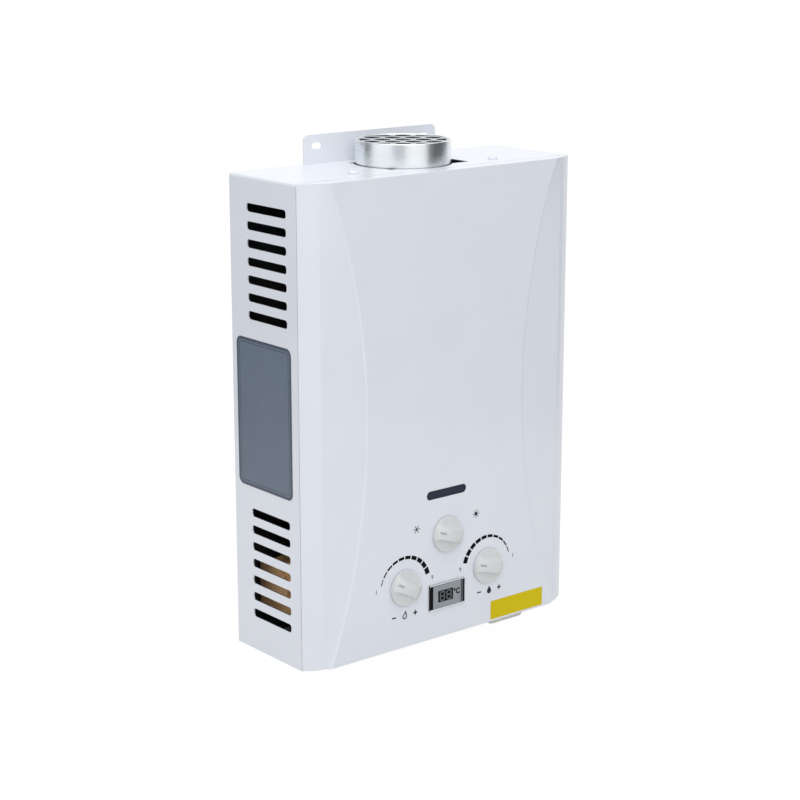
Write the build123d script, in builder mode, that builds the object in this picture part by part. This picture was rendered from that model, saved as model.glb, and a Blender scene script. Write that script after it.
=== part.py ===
"""Wall-hung gas water heater: sheet-steel case, copper heat exchanger, burner, valves and battery ignition.

Millimetres, +Z up, front towards -Y. The origin is midway between the two hanging slots, on the wall.
Heights are counted from the bottom of the case and depths from the wall.
"""
import os
from math import cos, hypot, radians, sin, sqrt

from build123d import *

# Common values
overrun = 5.0
seat_gap = 0.1
running_gap = 0.05
sheet = 1.0

# Case
case_width = 290.0
case_height = 400.0
bend_radius = 3.0
seam_depth = 90.1
seam_gap = 0.3
flange_width = 9.0
louvre_length = 53.0
louvre_height = 7.0
louvre_corner = 2.6
louvre_land = 7.6
louvre_count = 7
louvre_depth = 50.0
upper_louvre_height = 330.8
lower_louvre_height = 76.7

# Front cover
facet_inset = 16.0
facet_depth = 8.5
field_rise = 3.4
waist_inset = 45.0
waist_height = 203.0
crease_radius = 550.0
crease_sections = 9
crease_step_drop = 0.9
crease_step_width = 1.6
facet_share = 0.25
facet_bend_x_share = 0.62
facet_bend_depth_share = 0.76
window_length = 43.5
window_width = 7.5
window_height = 128.0
pane_margin = 3.0
pane_thickness = 1.5

# Wall bracket
hanger_height = 414.5
hanger_slot_length = 10.0
hanger_slot_width = 5.0
bracket_width = 142.0
bracket_end_margin = 27.0
bracket_low = 335.0
bracket_above_slots = 9.5
bracket_corner = 5.0

# Flue
flue_depth = 43.5
collar_radius = 40.0
collar_wall = 1.6
collar_rise = 20.0
collar_foot = 384.0
collar_step = 0.9
collar_step_rise = 1.0
bead_radius = 0.9
opening_width = 84.0
opening_reach = 56.0
opening_offset = 6.0
opening_gap = 0.8
grille_thickness = 1.0
grille_skirt = 4.0
grille_drop = 0.6
cell_across = 12.5
cell_web = 4.5
grille_turn = -39.0
honeycomb_row_share = 0.866025
hood_spigot = 12.0

# Case screws and the straps of the hood
screw_offset = 74.5
screw_place_depth = 72.0
screw_head_radius = 4.0
screw_head_rise = 2.4
screw_shank_radius = 2.0
screw_length = 9.0
strap_inner_offset = 65.0
strap_rear_depth = 40.0
strap_front_depth = 80.0
strap_leg_front_depth = 66.0

# Combustion chamber, heat exchanger and hood
chamber_width = 172.0
chamber_reach = 60.0
chamber_corner = 6.0
chamber_low = 165.0
chamber_above_tubes = 32.0
hood_overlap = 8.0
hood_skirt_rise = 12.0
fin_half_rise = 22.0
fin_thickness = 0.8
fin_gap = 11.2
fin_count = 14
tube_radius = 4.0
tube_wall = 0.8
tube_gap = 6.0
tube_passes = 4
tube_height = 290.0
tube_return = 11.0
tube_stub = 1.0
coil_gap = 0.3
coil_low_share = 0.28
coil_rise_share = 0.144
coil_start_drop = 20.0
coil_bend = 11.0
coil_feed_offset = 98.0
coil_feed_share = 0.6
coil_feed_bend = 7.0
coil_feed_turns = 3
coil_ends = 2

# Burner
tray_low = 108.0
rail_low = 110.5
rail_high = 113.0
rail_width = 7.0
rail_inset = 12.0
bar_count = 6
bar_gap = 16.0
bar_end_gap = 1.5
bar_foot_width = 10.0
bar_foot_rise = 10.0
bar_blade_width = 4.0
bar_neck_height = 143.0
bar_head_height = 147.0
bar_top_height = 156.0
bar_head_width = 11.0
port_count = 9
port_width = 1.6
port_land = 4.0
port_length = 7.0
port_drop = 2.5
venturi_radius = 3.6
venturi_length = 8.0
nozzle_hole_radius = 6.0
tray_foot_offset = 62.0
tray_foot_width = 24.0
tray_foot_height = 150.0
tray_foot_rise = 14.0

# Gas manifold, its nozzles and the season valve
manifold_length = 156.0
manifold_rise = 12.0
manifold_reach = 9.0
manifold_gap = 4.0
manifold_corner = 2.5
nozzle_radius = 3.0
nozzle_tip_radius = 2.0
nozzle_tip_length = 2.0
season_body_width = 40.0
season_body_low = 80.0
season_body_reach = 12.0
season_boss_radius = 7.0
season_boss_length = 6.0

# Knobs, their spindles and their pointers at rest
knob_offset = 46.0
knob_height = 53.5
season_knob_height = 91.5
gas_pointer = 152.0
water_pointer = 163.0
season_pointer = 160.0
knob_radius = 15.4
knob_rise = 8.6
knob_rim_rise = 3.6
knob_disc_rise = 2.0
knob_gap = 0.6
grip_half_width = 5.2
grip_root_half_width = 10.0
scoop_mid_y_share = 0.25
scoop_mid_z_share = 0.36
knob_edge = 0.7
knob_hub_radius = 5.0
knob_hub_length = 2.4
knob_hole_radius = 6.5
pointer_length = 6.0
pointer_width = 2.0
pointer_drop = 0.7
pointer_inset = 2.6
spindle_radius = 3.0
spindle_in_knob = 5.2
spindle_end_gap = 0.5

# Display
bezel_width = 39.0
bezel_rise = 23.0
bezel_height = 37.4
bezel_proud = 1.5
bezel_neck_inset = 1.2
bezel_neck_length = 3.5
bezel_front_margin = 1.2
bezel_back_margin = 3.6
bezel_corner = 0.8
module_reach = 13.0
module_inset = 0.8
module_corner = 1.5
board_thickness = 1.6
board_margin = 3.0

# Gas and water valves
valve_depth = 30.0
valve_height = 53.5
gas_body_size = 38.0
gas_body_left = -112.0
gas_body_right = -16.0
gas_body_corner = 4.0
gas_cap_size = 52.0
gas_cap_thickness = 12.0
gas_cap_slope = 11.0
gas_cap_corner = 5.0
gas_cap_dome_radius = 16.0
gas_cap_dome_rise = 2.5
upstream_radius = 14.0
seat_left = -72.0
seat_right = -68.0
seat_hole_radius = 8.0
downstream_radius = 10.0
downstream_right = -48.0
gas_boss_radius = 8.0
gas_boss_length = 8.0
gas_bore_depth = 40.0
inlet_boss_radius = 13.0
inlet_boss_drop = 6.0
inlet_port_radius = 8.0
riser_offset = -58.0
riser_radius = 5.0
riser_wall = 1.0
riser_height = 98.0
riser_bend = 8.0
poppet_radius = 11.0
poppet_thickness = 5.0
rod_radius = 2.5
rod_travel = 4.0
rod_plate_radius = 14.0
rod_plate_thickness = 2.0
rod_plate_gap = 0.3
rod_collar_radius = 5.0
rod_collar_left = -9.0
rod_collar_right = -6.0
spring_radius = 7.0
spring_wire = 0.6
spring_turns = 6
spring_end_gap = 0.2
water_radius = 26.0
water_cover_left = -4.0
diaphragm_left = 20.0
diaphragm_thickness = 2.0
water_body_right = 42.0
water_chamber_radius = 19.0
water_chamber_length = 12.0
water_edge = 2.0
dry_chamber_left = 7.0
water_boss_radius = 5.0
water_arm_size = 8.0
water_boss_depth = 66.0
water_port_offset = 32.0
water_port_radius = 9.0
water_port_rise = 30.5
cold_boss_radius = 9.0
cold_boss_drop = 31.0

# Microswitch
switch_length = 28.0
switch_rise = 14.0
switch_width = 10.0
switch_right = -14.0
switch_corner = 1.0
switch_ear_length = 6.0
switch_ear_rise = 6.0
switch_ear_width = 2.4
lever_pivot_x = -9.7
lever_pivot_drop = 2.5
lever_pin_radius = 1.0
lever_thickness = 0.8
lever_width = 4.6
lever_hub_radius = 1.9
lever_tip_above_rod = 3.2

# Pipe stubs
stub_radius = 10.48
stub_shank_radius = 10.3
stub_bore = 7.0
stub_drop = 18.0
stub_flange_radius = 14.0
stub_flange_rise = 5.0
stub_neck_radius = 9.0
stub_hole_gap = 0.5
stub_chamfer = 1.0
gas_stub_x = -92.0
hot_stub_x = 118.0
hot_stub_top = 12.0
nut_across = 27.0
nut_rise = 5.0
filter_length = 6.0
filter_height = -12.0
filter_wall = 0.8
pipe_radius = 4.0
pipe_wall = 0.8
pipe_bend = 12.0
cold_rise = 12.0
hot_jog_high = 66.0
hot_jog_low = 42.0

# Ignition and sensing
ignition_width = 38.0
ignition_rise = 78.0
ignition_reach = 28.0
ignition_x = -118.0
ignition_height = 172.0
ignition_corner = 3.0
ignition_lid_margin = 3.0
ignition_lid_rise = 1.5
connector_width = 18.0
connector_reach = 10.0
connector_rise = 7.0
electrode_height = 160.0
spark_x = 0.0
sensor_x = 26.0
electrode_radius = 3.0
electrode_outside = 12.0
electrode_inside = 8.0
electrode_wire_radius = 0.8
electrode_wire_length = 14.0
electrode_plate_width = 16.0
electrode_plate_rise = 9.0
cutout_x = 40.0
cutout_share = 0.72
cutout_radius = 8.0
cutout_reach = 6.0
cutout_tag_width = 4.0
cutout_tag_reach = 7.0
probe_low = 90.0
probe_rise = 10.0
probe_radius = 7.5

# Battery box
cell_radius = 17.1
cell_length = 60.0
cell_nub_radius = 4.5
cell_nub_rise = 1.5
cell_count = 2
cell_gap = 1.2
box_wall = 2.0
box_left = 54.8
box_front_depth = 97.0
box_rim_drop = 1.0
box_corner = 3.0
box_opening_gap = 0.3
box_tab_length = 7.0
box_tab_width = 15.0
box_tab_depth = 52.0
contact_thickness = 0.6
contact_width = 24.0
contact_gap = 0.2
cell_low = 2.5
lid_gap = 0.2
lid_drop = 5.6
lid_round = 4.0
lid_pad_gap = 0.2
lid_pad_inset = 5.0
hinge_behind = 2.5
hinge_height = -3.4
hinge_pin_radius = 1.25
knuckle_radius = 3.0
knuckle_gap = 0.4
ear_width = 5.0
ear_inset = 2.5
ear_top = 8.0
lid_rear_gap = 0.8
hinge_opening_gap = 1.0

# Values worked out from the ones above
case_low = -hanger_height
half_width = case_width / 2
wrap_reach = seam_depth - seam_gap / 2
cover_back = seam_depth + seam_gap / 2
edge_depth = seam_depth + facet_depth
field_depth = edge_depth + field_rise
edge_half_width = half_width - facet_inset
waist_half_width = edge_half_width - waist_inset
facet_bend_half_width = half_width - facet_inset * facet_bend_x_share
facet_bend_depth = seam_depth + facet_depth * facet_bend_depth_share
chamber_rear = flue_depth - chamber_reach / 2
chamber_front = flue_depth + chamber_reach / 2
chamber_half = chamber_width / 2
chamber_high = tube_height + chamber_above_tubes
tube_span = tube_height - chamber_low
fin_low = tube_height - fin_half_rise
fin_high = tube_height + fin_half_rise
hood_width = chamber_width + 2 * (sheet + seat_gap)
hood_reach = chamber_reach + 2 * (sheet + seat_gap)
hood_corner = chamber_corner + sheet + seat_gap
hood_skirt_high = chamber_high + hood_skirt_rise
strap_foot_height = chamber_high
hanger_spacing = bracket_width - bracket_end_margin
louvre_spacing = louvre_height + louvre_land
cell_spacing = cell_across + cell_web
fin_spacing = fin_thickness + fin_gap
tube_spacing = 2 * tube_radius + tube_gap
bar_spacing = bar_foot_width + bar_gap
port_spacing = port_width + port_land
tube_depths = [flue_depth + tube_spacing * (tube_passes / 2 - 0.5 - row) for row in range(tube_passes)]
bar_places = [bar_spacing * (index - (bar_count - 1) / 2) for index in range(bar_count)]
manifold_rear = chamber_front + manifold_gap
nozzle_height = rail_high + bar_foot_rise / 2
manifold_low = nozzle_height - manifold_rise / 2
season_rear = manifold_rear + manifold_reach - season_body_reach
season_front = manifold_rear + manifold_reach
knob_back = field_depth + knob_gap
bezel_neck_width = bezel_width - 2 * bezel_neck_inset
bezel_neck_rise = bezel_rise - 2 * bezel_neck_inset
gas_body_front = valve_depth + gas_body_size / 2
gas_body_top = valve_height + gas_body_size / 2
gas_body_low = valve_height - gas_body_size / 2
diaphragm_right = diaphragm_left + diaphragm_thickness
water_port_top = valve_height + water_port_rise
cold_turn_height = water_port_top + cold_rise
cold_boss_low = valve_height - cold_boss_drop
gas_boss_low = gas_body_low - inlet_boss_drop
box_inner_width = 2 * (cell_radius + seat_gap) + cell_gap
box_width = box_inner_width + 2 * box_wall
box_reach = cell_count * 2 * cell_radius + (cell_count + 1) * cell_gap + 2 * box_wall
box_middle = box_left + box_width / 2
box_rear_depth = box_front_depth - box_reach
box_middle_depth = (box_front_depth + box_rear_depth) / 2
cell_top = cell_low + cell_length + cell_nub_rise
box_inner_top = cell_top + contact_gap + contact_thickness
box_top = box_inner_top + box_wall
cell_step = 2 * cell_radius + cell_gap
hinge_depth = box_rear_depth - hinge_behind
lid_top = -box_rim_drop - lid_gap
switch_pivot_height = gas_body_top - lever_pivot_drop
coil_radius = tube_radius
coil_low = chamber_low + coil_low_share * tube_span
coil_rise = coil_rise_share * tube_span
coil_start_height = coil_low - coil_start_drop
coil_feed_height = chamber_low + coil_feed_share * tube_span
cutout_height = chamber_low + cutout_share * tube_span
coil_offset = chamber_half + coil_radius + coil_gap
coil_rear = chamber_rear - coil_radius - coil_gap
coil_front = chamber_front + coil_radius + coil_gap
tube_turn = chamber_half + tube_return

os.makedirs("parts", exist_ok=True)


def front_plane(depth, x=0, height=0, turn=0):
    """Upright plane that faces the front: local x runs right and local y up, turned about its middle."""
    turned = (cos(radians(turn)), 0, sin(radians(turn)))
    return Plane(origin=(x, -depth, case_low + height), x_dir=turned, z_dir=(0, -1, 0))


def level_plane(height, x=0, depth=0):
    """Level plane at a height: local y is negative towards the front."""
    return Plane(origin=(x, -depth, case_low + height), x_dir=(1, 0, 0), z_dir=(0, 0, 1))


def side_plane(x, depth=0, height=0):
    """Upright plane that faces right: local x runs to the wall and local y up."""
    return Plane(origin=(x, -depth, case_low + height), x_dir=(0, 1, 0), z_dir=(1, 0, 0))


def spot(x, depth, height):
    """Point given by its distance to the right, from the wall and above the case bottom."""
    return (x, -depth, case_low + height)


def save(part, name):
    """Label a finished piece and write it out."""
    part.label = name
    export_step(part, f"parts/{name}.step")


def pipe(points, bend, outer, wall):
    """Pipe along straight runs joined by arcs of one bend radius."""
    with BuildPart() as tube:
        with BuildLine() as route:
            FilletPolyline(*points, radius=bend)
        with BuildSketch(Plane(origin=route.line @ 0, z_dir=route.line % 0)):
            Circle(outer)
            Circle(outer - wall, mode=Mode.SUBTRACT)
        sweep(path=route.line)
    return tube.part


# Case wrap: both sides and the top, bent from one sheet
with BuildPart() as case_wrap:
    with BuildSketch(front_plane(0, 0, case_height / 2)) as outline:
        Rectangle(case_width, case_height)
        fillet(outline.vertices().group_by(Axis.Y)[-1], bend_radius)
    extrude(amount=wrap_reach)
    with BuildSketch(front_plane(0, 0, (case_height - sheet - overrun) / 2)) as hollow:
        Rectangle(case_width - 2 * sheet, case_height - sheet + overrun)
        fillet(hollow.vertices().group_by(Axis.Y)[-1], bend_radius - sheet)
    extrude(amount=wrap_reach, mode=Mode.SUBTRACT)
    with BuildSketch(front_plane(wrap_reach - sheet, 0, case_height / 2)) as rim:
        Rectangle(case_width - sheet, case_height)
        fillet(rim.vertices().group_by(Axis.Y)[-1], bend_radius)
        with Locations((0, -flange_width)):
            Rectangle(case_width - 2 * flange_width, case_height, mode=Mode.SUBTRACT)
    extrude(amount=sheet)
    with BuildSketch(front_plane(0, 0, (case_height - bend_radius) / 2)):
        for side in (-1, 1):
            with Locations((side * (half_width - (flange_width + sheet) / 2), 0)):
                Rectangle(flange_width - sheet, case_height - bend_radius)
    extrude(amount=sheet)
    with BuildSketch(side_plane(0, louvre_depth)):
        for group_height in (upper_louvre_height, lower_louvre_height):
            with Locations((0, group_height)):
                with GridLocations(louvre_spacing, louvre_spacing, 1, louvre_count):
                    RectangleRounded(louvre_length, louvre_height, louvre_corner)
    extrude(amount=half_width + overrun, both=True, mode=Mode.SUBTRACT)
    with BuildSketch(level_plane(case_height - bend_radius)):
        with Locations((opening_offset, -flue_depth)):
            Rectangle(opening_width, opening_reach)
        with Locations((0, -flue_depth)):
            Circle(collar_radius + opening_gap)
        Rectangle(bracket_width + 2 * seat_gap, 2 * (sheet + seat_gap))
        with Locations((-screw_offset, -screw_place_depth), (screw_offset, -screw_place_depth)):
            Circle(screw_shank_radius + seat_gap)
    extrude(amount=bend_radius + overrun, mode=Mode.SUBTRACT)
save(case_wrap.part, "case_wrap")


def crease_half_width(height):
    """Half width of the flat field: each crease is an arc bowed towards the middle of the front."""
    rise = height - waist_height
    return waist_half_width + crease_radius - sqrt(crease_radius**2 - rise**2)


def wing_cutter(inset):
    """Wedge that leaves the wing: a small embossed step at the arched crease, then a slope to the edge."""
    edge = edge_half_width - inset * facet_share
    front = field_depth - inset
    with BuildPart() as cutter:
        for step in range(crease_sections):
            height = -overrun + (case_height + 2 * overrun) * step / (crease_sections - 1)
            crease = crease_half_width(height)
            with BuildSketch(level_plane(height)):
                with BuildLine():
                    Polyline(
                        (crease - inset * facet_share, -front),
                        (crease + crease_step_width - inset * facet_share, -front + crease_step_drop),
                        (edge, -edge_depth + inset),
                        (edge + overrun, -front - overrun),
                        close=True,
                    )
                make_face()
        loft()
        mirror(about=Plane.YZ)
    return cutter.part


def cover_form(inset):
    """Outside of the front cover, or its inside when it is inset by the sheet."""
    wings = wing_cutter(inset)
    edge = edge_half_width - inset * facet_share
    bend = facet_bend_half_width - inset * facet_share
    rim = half_width - inset * facet_share
    with BuildPart() as form:
        with BuildSketch(level_plane(inset)):
            with BuildLine():
                Polyline(
                    (-rim, -cover_back + inset),
                    (-bend, -facet_bend_depth + inset),
                    (-edge, -edge_depth + inset),
                    (-edge, -field_depth + inset),
                    (edge, -field_depth + inset),
                    (edge, -edge_depth + inset),
                    (bend, -facet_bend_depth + inset),
                    (rim, -cover_back + inset),
                    close=True,
                )
            make_face()
        extrude(amount=case_height - 2 * inset)
        add(wings, mode=Mode.SUBTRACT)
    return form.part


# Front cover: one pressing with a flat hourglass field, embossed creases, sloping wings and bent edges
cover_inside = cover_form(sheet)
with BuildPart() as front_cover:
    add(cover_form(0))
    add(cover_inside, mode=Mode.SUBTRACT)
    with BuildSketch(front_plane(edge_depth)):
        with Locations((0, window_height)):
            SlotOverall(window_length, window_width)
        with Locations((-knob_offset, knob_height), (knob_offset, knob_height), (0, season_knob_height)):
            Circle(knob_hole_radius)
        with Locations((0, bezel_height)):
            Rectangle(bezel_neck_width + 2 * seat_gap, bezel_neck_rise + 2 * seat_gap)
    extrude(amount=field_rise + overrun, mode=Mode.SUBTRACT)
    with BuildSketch(level_plane(-overrun, box_middle, cover_back - overrun)):
        notch_reach = box_front_depth + box_opening_gap - cover_back + overrun
        with Locations((0, -notch_reach / 2)):
            Rectangle(box_width + 2 * box_opening_gap, notch_reach)
    extrude(amount=2 * overrun, mode=Mode.SUBTRACT)
save(front_cover.part, "front_cover")

with BuildPart() as window_pane:
    with BuildSketch(front_plane(field_depth - sheet - pane_thickness, 0, window_height)):
        RectangleRounded(window_length + 2 * pane_margin, window_width + 2 * pane_margin, pane_margin)
    extrude(amount=pane_thickness)
save(window_pane.part, "window_pane")

# Back and bottom of the case
with BuildPart() as back_panel:
    with BuildSketch(front_plane(sheet, 0, (case_height - sheet) / 2)) as panel:
        Rectangle(case_width - 2 * (sheet + seat_gap), case_height - sheet - 2 * seat_gap)
        fillet(panel.vertices().group_by(Axis.Y)[-1], bend_radius)
    extrude(amount=sheet)
save(back_panel.part, "back_panel")

with BuildPart() as bottom_panel:
    panel_reach = wrap_reach - 3 * sheet
    with BuildSketch(level_plane(0, 0, 2 * sheet + panel_reach / 2)):
        Rectangle(case_width - 2 * (sheet + seat_gap), panel_reach)
    extrude(amount=sheet)
    with BuildSketch(level_plane(sheet, 0, 2 * sheet + (panel_reach - sheet) / 2)):
        for side in (-1, 1):
            with Locations((side * (half_width - sheet - seat_gap - sheet / 2), 0)):
                Rectangle(sheet, panel_reach - sheet - 2 * seat_gap)
    extrude(amount=flange_width)
    with BuildSketch(level_plane(-overrun)):
        with Locations(*[(x, -valve_depth) for x in (gas_stub_x, water_port_offset, hot_stub_x)]):
            Circle(stub_radius + stub_hole_gap)
        opening_rear = hinge_depth - knuckle_radius - hinge_opening_gap
        opening_length = wrap_reach + overrun - opening_rear
        with Locations((box_middle, -opening_rear - opening_length / 2)):
            Rectangle(box_width + 2 * box_opening_gap, opening_length)
    extrude(amount=2 * overrun, mode=Mode.SUBTRACT)
save(bottom_panel.part, "bottom_panel")

# Wall bracket
with BuildPart() as wall_bracket:
    bracket_rise = hanger_height + bracket_above_slots - bracket_low
    with BuildSketch(front_plane(0, 0, bracket_low + bracket_rise / 2)) as plate:
        Rectangle(bracket_width, bracket_rise)
        fillet(plate.vertices(), bracket_corner)
        with Locations((0, bracket_rise / 2 - bracket_above_slots)):
            with GridLocations(hanger_spacing, hanger_spacing, 2, 1):
                SlotOverall(hanger_slot_length, hanger_slot_width, mode=Mode.SUBTRACT)
    extrude(amount=sheet)
save(wall_bracket.part, "wall_bracket")

# Flue collar with a rolled bead round its mouth
collar_top = case_height + collar_rise
collar_plane = front_plane(flue_depth)
with BuildPart() as flue_collar:
    with BuildSketch(collar_plane):
        with BuildLine():
            Polyline(
                (collar_radius - collar_wall, collar_foot),
                (collar_radius - collar_step, collar_foot),
                (collar_radius - collar_step, case_height + collar_step_rise),
                (collar_radius, case_height + collar_step_rise),
                (collar_radius, collar_top - bead_radius),
                (collar_radius - collar_wall, collar_top - bead_radius),
                close=True,
            )
        make_face()
        with Locations((collar_radius - bead_radius, collar_top - bead_radius)):
            Circle(bead_radius)
    revolve(axis=Axis((0, -flue_depth, case_low), (0, 0, 1)))
save(flue_collar.part, "flue_collar")


def honeycomb(spacing, reach):
    """Middles of a honeycomb of cells that lie within a round reach."""
    row_step = spacing * honeycomb_row_share
    rows = range(-int(reach / row_step), int(reach / row_step) + 1)
    columns = range(-int(reach / spacing) - 1, int(reach / spacing) + 2)
    middles = [(spacing * (column + row % 2 / 2), row_step * row) for row in rows for column in columns]
    return [middle for middle in middles if hypot(*middle) < reach]


# Flue grille: a pressed cup with a honeycomb of openings
grille_radius = collar_radius - 2 * bead_radius - seat_gap
grille_top = collar_top - grille_drop
with BuildPart() as flue_grille:
    with BuildSketch(level_plane(grille_top - grille_skirt, 0, flue_depth)):
        Circle(grille_radius)
    extrude(amount=grille_skirt)
    with BuildSketch(level_plane(grille_top - grille_skirt, 0, flue_depth)):
        Circle(grille_radius - sheet)
    extrude(amount=grille_skirt - grille_thickness, mode=Mode.SUBTRACT)
    cell_plane = level_plane(grille_top - grille_skirt, 0, flue_depth).rotated((0, 0, grille_turn))
    with BuildSketch(cell_plane):
        with Locations(*honeycomb(cell_spacing, grille_radius)):
            RegularPolygon(cell_across / 2, 6, major_radius=False, rotation=30)
        Circle(grille_radius - 2 * sheet, mode=Mode.INTERSECT)
    extrude(amount=grille_skirt + overrun, mode=Mode.SUBTRACT)
save(flue_grille.part, "flue_grille")

# Draft hood: a skirt over the chamber, drawn in to a round spigot
with BuildPart() as draft_hood:
    hood_low = chamber_high - hood_overlap
    spigot_radius = collar_radius - collar_wall - seat_gap
    for shrink, mode in ((0, Mode.ADD), (sheet, Mode.SUBTRACT)):
        with BuildSketch(level_plane(hood_low, 0, flue_depth)):
            RectangleRounded(hood_width - 2 * shrink, hood_reach - 2 * shrink, hood_corner - shrink)
        extrude(amount=hood_skirt_high - hood_low, mode=mode)
        with BuildSketch(level_plane(hood_skirt_high, 0, flue_depth)):
            RectangleRounded(hood_width - 2 * shrink, hood_reach - 2 * shrink, hood_corner - shrink)
        with BuildSketch(level_plane(collar_foot, 0, flue_depth)):
            Circle(collar_radius - 2 * shrink)
        loft(mode=mode)
        with BuildSketch(level_plane(collar_foot, 0, flue_depth)):
            Circle(spigot_radius - shrink)
        extrude(amount=hood_spigot, mode=mode)
save(draft_hood.part, "draft_hood")

# Straps that hang the hood from the top of the case
with BuildPart() as hood_brackets:
    strap_leg_x = hood_width / 2
    strap_top = case_height - sheet
    strap_middle_x = (strap_inner_offset + strap_leg_x + sheet) / 2
    strap_middle_depth = (strap_rear_depth + strap_front_depth) / 2
    with BuildSketch(level_plane(strap_top - sheet)):
        with Locations((strap_middle_x, -strap_middle_depth)):
            Rectangle(strap_leg_x + sheet - strap_inner_offset, strap_front_depth - strap_rear_depth)
        with Locations((screw_offset, -screw_place_depth)):
            Circle(screw_shank_radius + seat_gap, mode=Mode.SUBTRACT)
    extrude(amount=sheet)
    with BuildSketch(level_plane(strap_foot_height)):
        with Locations((strap_leg_x + sheet / 2, -(strap_rear_depth + strap_leg_front_depth) / 2)):
            Rectangle(sheet, strap_leg_front_depth - strap_rear_depth)
    extrude(amount=strap_top - strap_foot_height)
    mirror(about=Plane.YZ)
save(hood_brackets.part, "hood_brackets")

with BuildPart() as case_screws:
    with BuildSketch(level_plane(case_height - screw_length)):
        with Locations((-screw_offset, -screw_place_depth), (screw_offset, -screw_place_depth)):
            Circle(screw_shank_radius)
    extrude(amount=screw_length)
    with BuildSketch(level_plane(case_height)):
        with Locations((-screw_offset, -screw_place_depth), (screw_offset, -screw_place_depth)):
            Circle(screw_head_radius)
    extrude(amount=screw_head_rise)
    fillet(case_screws.edges().filter_by(GeomType.CIRCLE).group_by(Axis.Z)[-1], screw_head_rise / 2)
save(case_screws.part, "case_screws")

# Combustion chamber: a copper box, open above and below, with holes for the water tubes
with BuildPart() as exchanger_shell:
    with BuildSketch(level_plane(chamber_low, 0, flue_depth)):
        RectangleRounded(chamber_width, chamber_reach, chamber_corner)
        RectangleRounded(
            chamber_width - 2 * sheet, chamber_reach - 2 * sheet, chamber_corner - sheet, mode=Mode.SUBTRACT
        )
    extrude(amount=chamber_high - chamber_low)
    with BuildSketch(side_plane(0, 0, tube_height)):
        with Locations(*[(-depth, 0) for depth in tube_depths]):
            Circle(tube_radius + seat_gap)
    extrude(amount=chamber_width, both=True, mode=Mode.SUBTRACT)
save(exchanger_shell.part, "exchanger_shell")

with BuildPart() as exchanger_fins:
    fin_reach = chamber_reach - 2 * (sheet + seat_gap)
    for index in range(fin_count):
        with BuildSketch(side_plane(fin_spacing * (index - (fin_count - 1) / 2), flue_depth)):
            with Locations((0, (fin_low + fin_high) / 2)):
                Rectangle(fin_reach, fin_high - fin_low)
            with Locations(*[(flue_depth - depth, tube_height) for depth in tube_depths]):
                Circle(tube_radius + seat_gap, mode=Mode.SUBTRACT)
        extrude(amount=fin_thickness / 2, both=True)
save(exchanger_fins.part, "exchanger_fins")


def serpentine():
    """Corners of the water tube that passes to and fro through the fins and ends where it began."""
    start = chamber_half + tube_stub
    corners = [spot(start, tube_depths[0], tube_height)]
    for row in range(tube_passes - 1):
        turn_x = -tube_turn if row % 2 == 0 else tube_turn
        corners.append(spot(turn_x, tube_depths[row], tube_height))
        corners.append(spot(turn_x, tube_depths[row + 1], tube_height))
    corners.append(spot(start, tube_depths[-1], tube_height))
    return corners


tube_bend = tube_spacing / 2 - seat_gap
save(pipe(serpentine(), tube_bend, tube_radius, tube_wall), "exchanger_tubes")


def coil_route():
    """Corners of the tube that climbs round the chamber twice and then feeds the fins."""
    sides = (coil_offset, -coil_offset)
    ring = [(x, coil_rear) for x in sides] + [(x, coil_front) for x in reversed(sides)]
    corners = [spot(coil_offset, flue_depth, coil_start_height), spot(coil_offset, flue_depth, coil_low)]
    for step in range(2 * len(ring)):
        x, depth = ring[step % len(ring)]
        corners.append(spot(x, depth, coil_low + coil_rise * (step + 1) / len(ring)))
    corners.append(spot(coil_feed_offset, tube_depths[0], coil_feed_height))
    corners.append(spot(coil_feed_offset, tube_depths[0], tube_height))
    corners.append(spot(chamber_half + tube_stub, tube_depths[0], tube_height))
    return corners


coil_corners = coil_route()
coil_turns = len(coil_corners) - coil_ends - coil_feed_turns
coil_bends = [coil_bend] * coil_turns + [coil_feed_bend] * coil_feed_turns
save(pipe(coil_corners, coil_bends, coil_radius, tube_wall), "chamber_coil")

# Burner tray: the lower box, its two rails, the nozzle and electrode holes and its feet on the back
with BuildPart() as burner_tray:
    with BuildSketch(level_plane(tray_low, 0, flue_depth)):
        RectangleRounded(chamber_width, chamber_reach, chamber_corner)
        RectangleRounded(
            chamber_width - 2 * sheet, chamber_reach - 2 * sheet, chamber_corner - sheet, mode=Mode.SUBTRACT
        )
    extrude(amount=chamber_low - tray_low)
    with BuildSketch(level_plane(rail_low, 0, flue_depth)):
        for side in (-1, 1):
            with Locations((0, side * (chamber_reach / 2 - rail_inset))):
                Rectangle(chamber_width - sheet, rail_width)
    extrude(amount=rail_high - rail_low)
    with BuildSketch(front_plane(chamber_front - sheet - overrun)):
        with Locations(*[(x, nozzle_height) for x in bar_places]):
            Circle(nozzle_hole_radius)
        with Locations((spark_x, electrode_height), (sensor_x, electrode_height)):
            Circle(electrode_radius + seat_gap)
    extrude(amount=2 * overrun, mode=Mode.SUBTRACT)
    tray_foot_middle = (chamber_rear + 2 * sheet) / 2 + sheet / 2
    for side in (-1, 1):
        with BuildSketch(level_plane(tray_foot_height, side * tray_foot_offset, tray_foot_middle)):
            Rectangle(tray_foot_width, chamber_rear - sheet)
        extrude(amount=sheet)
        with BuildSketch(front_plane(2 * sheet, side * tray_foot_offset, tray_foot_height)):
            Rectangle(tray_foot_width, tray_foot_rise)
        extrude(amount=sheet)
save(burner_tray.part, "burner_tray")

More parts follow.
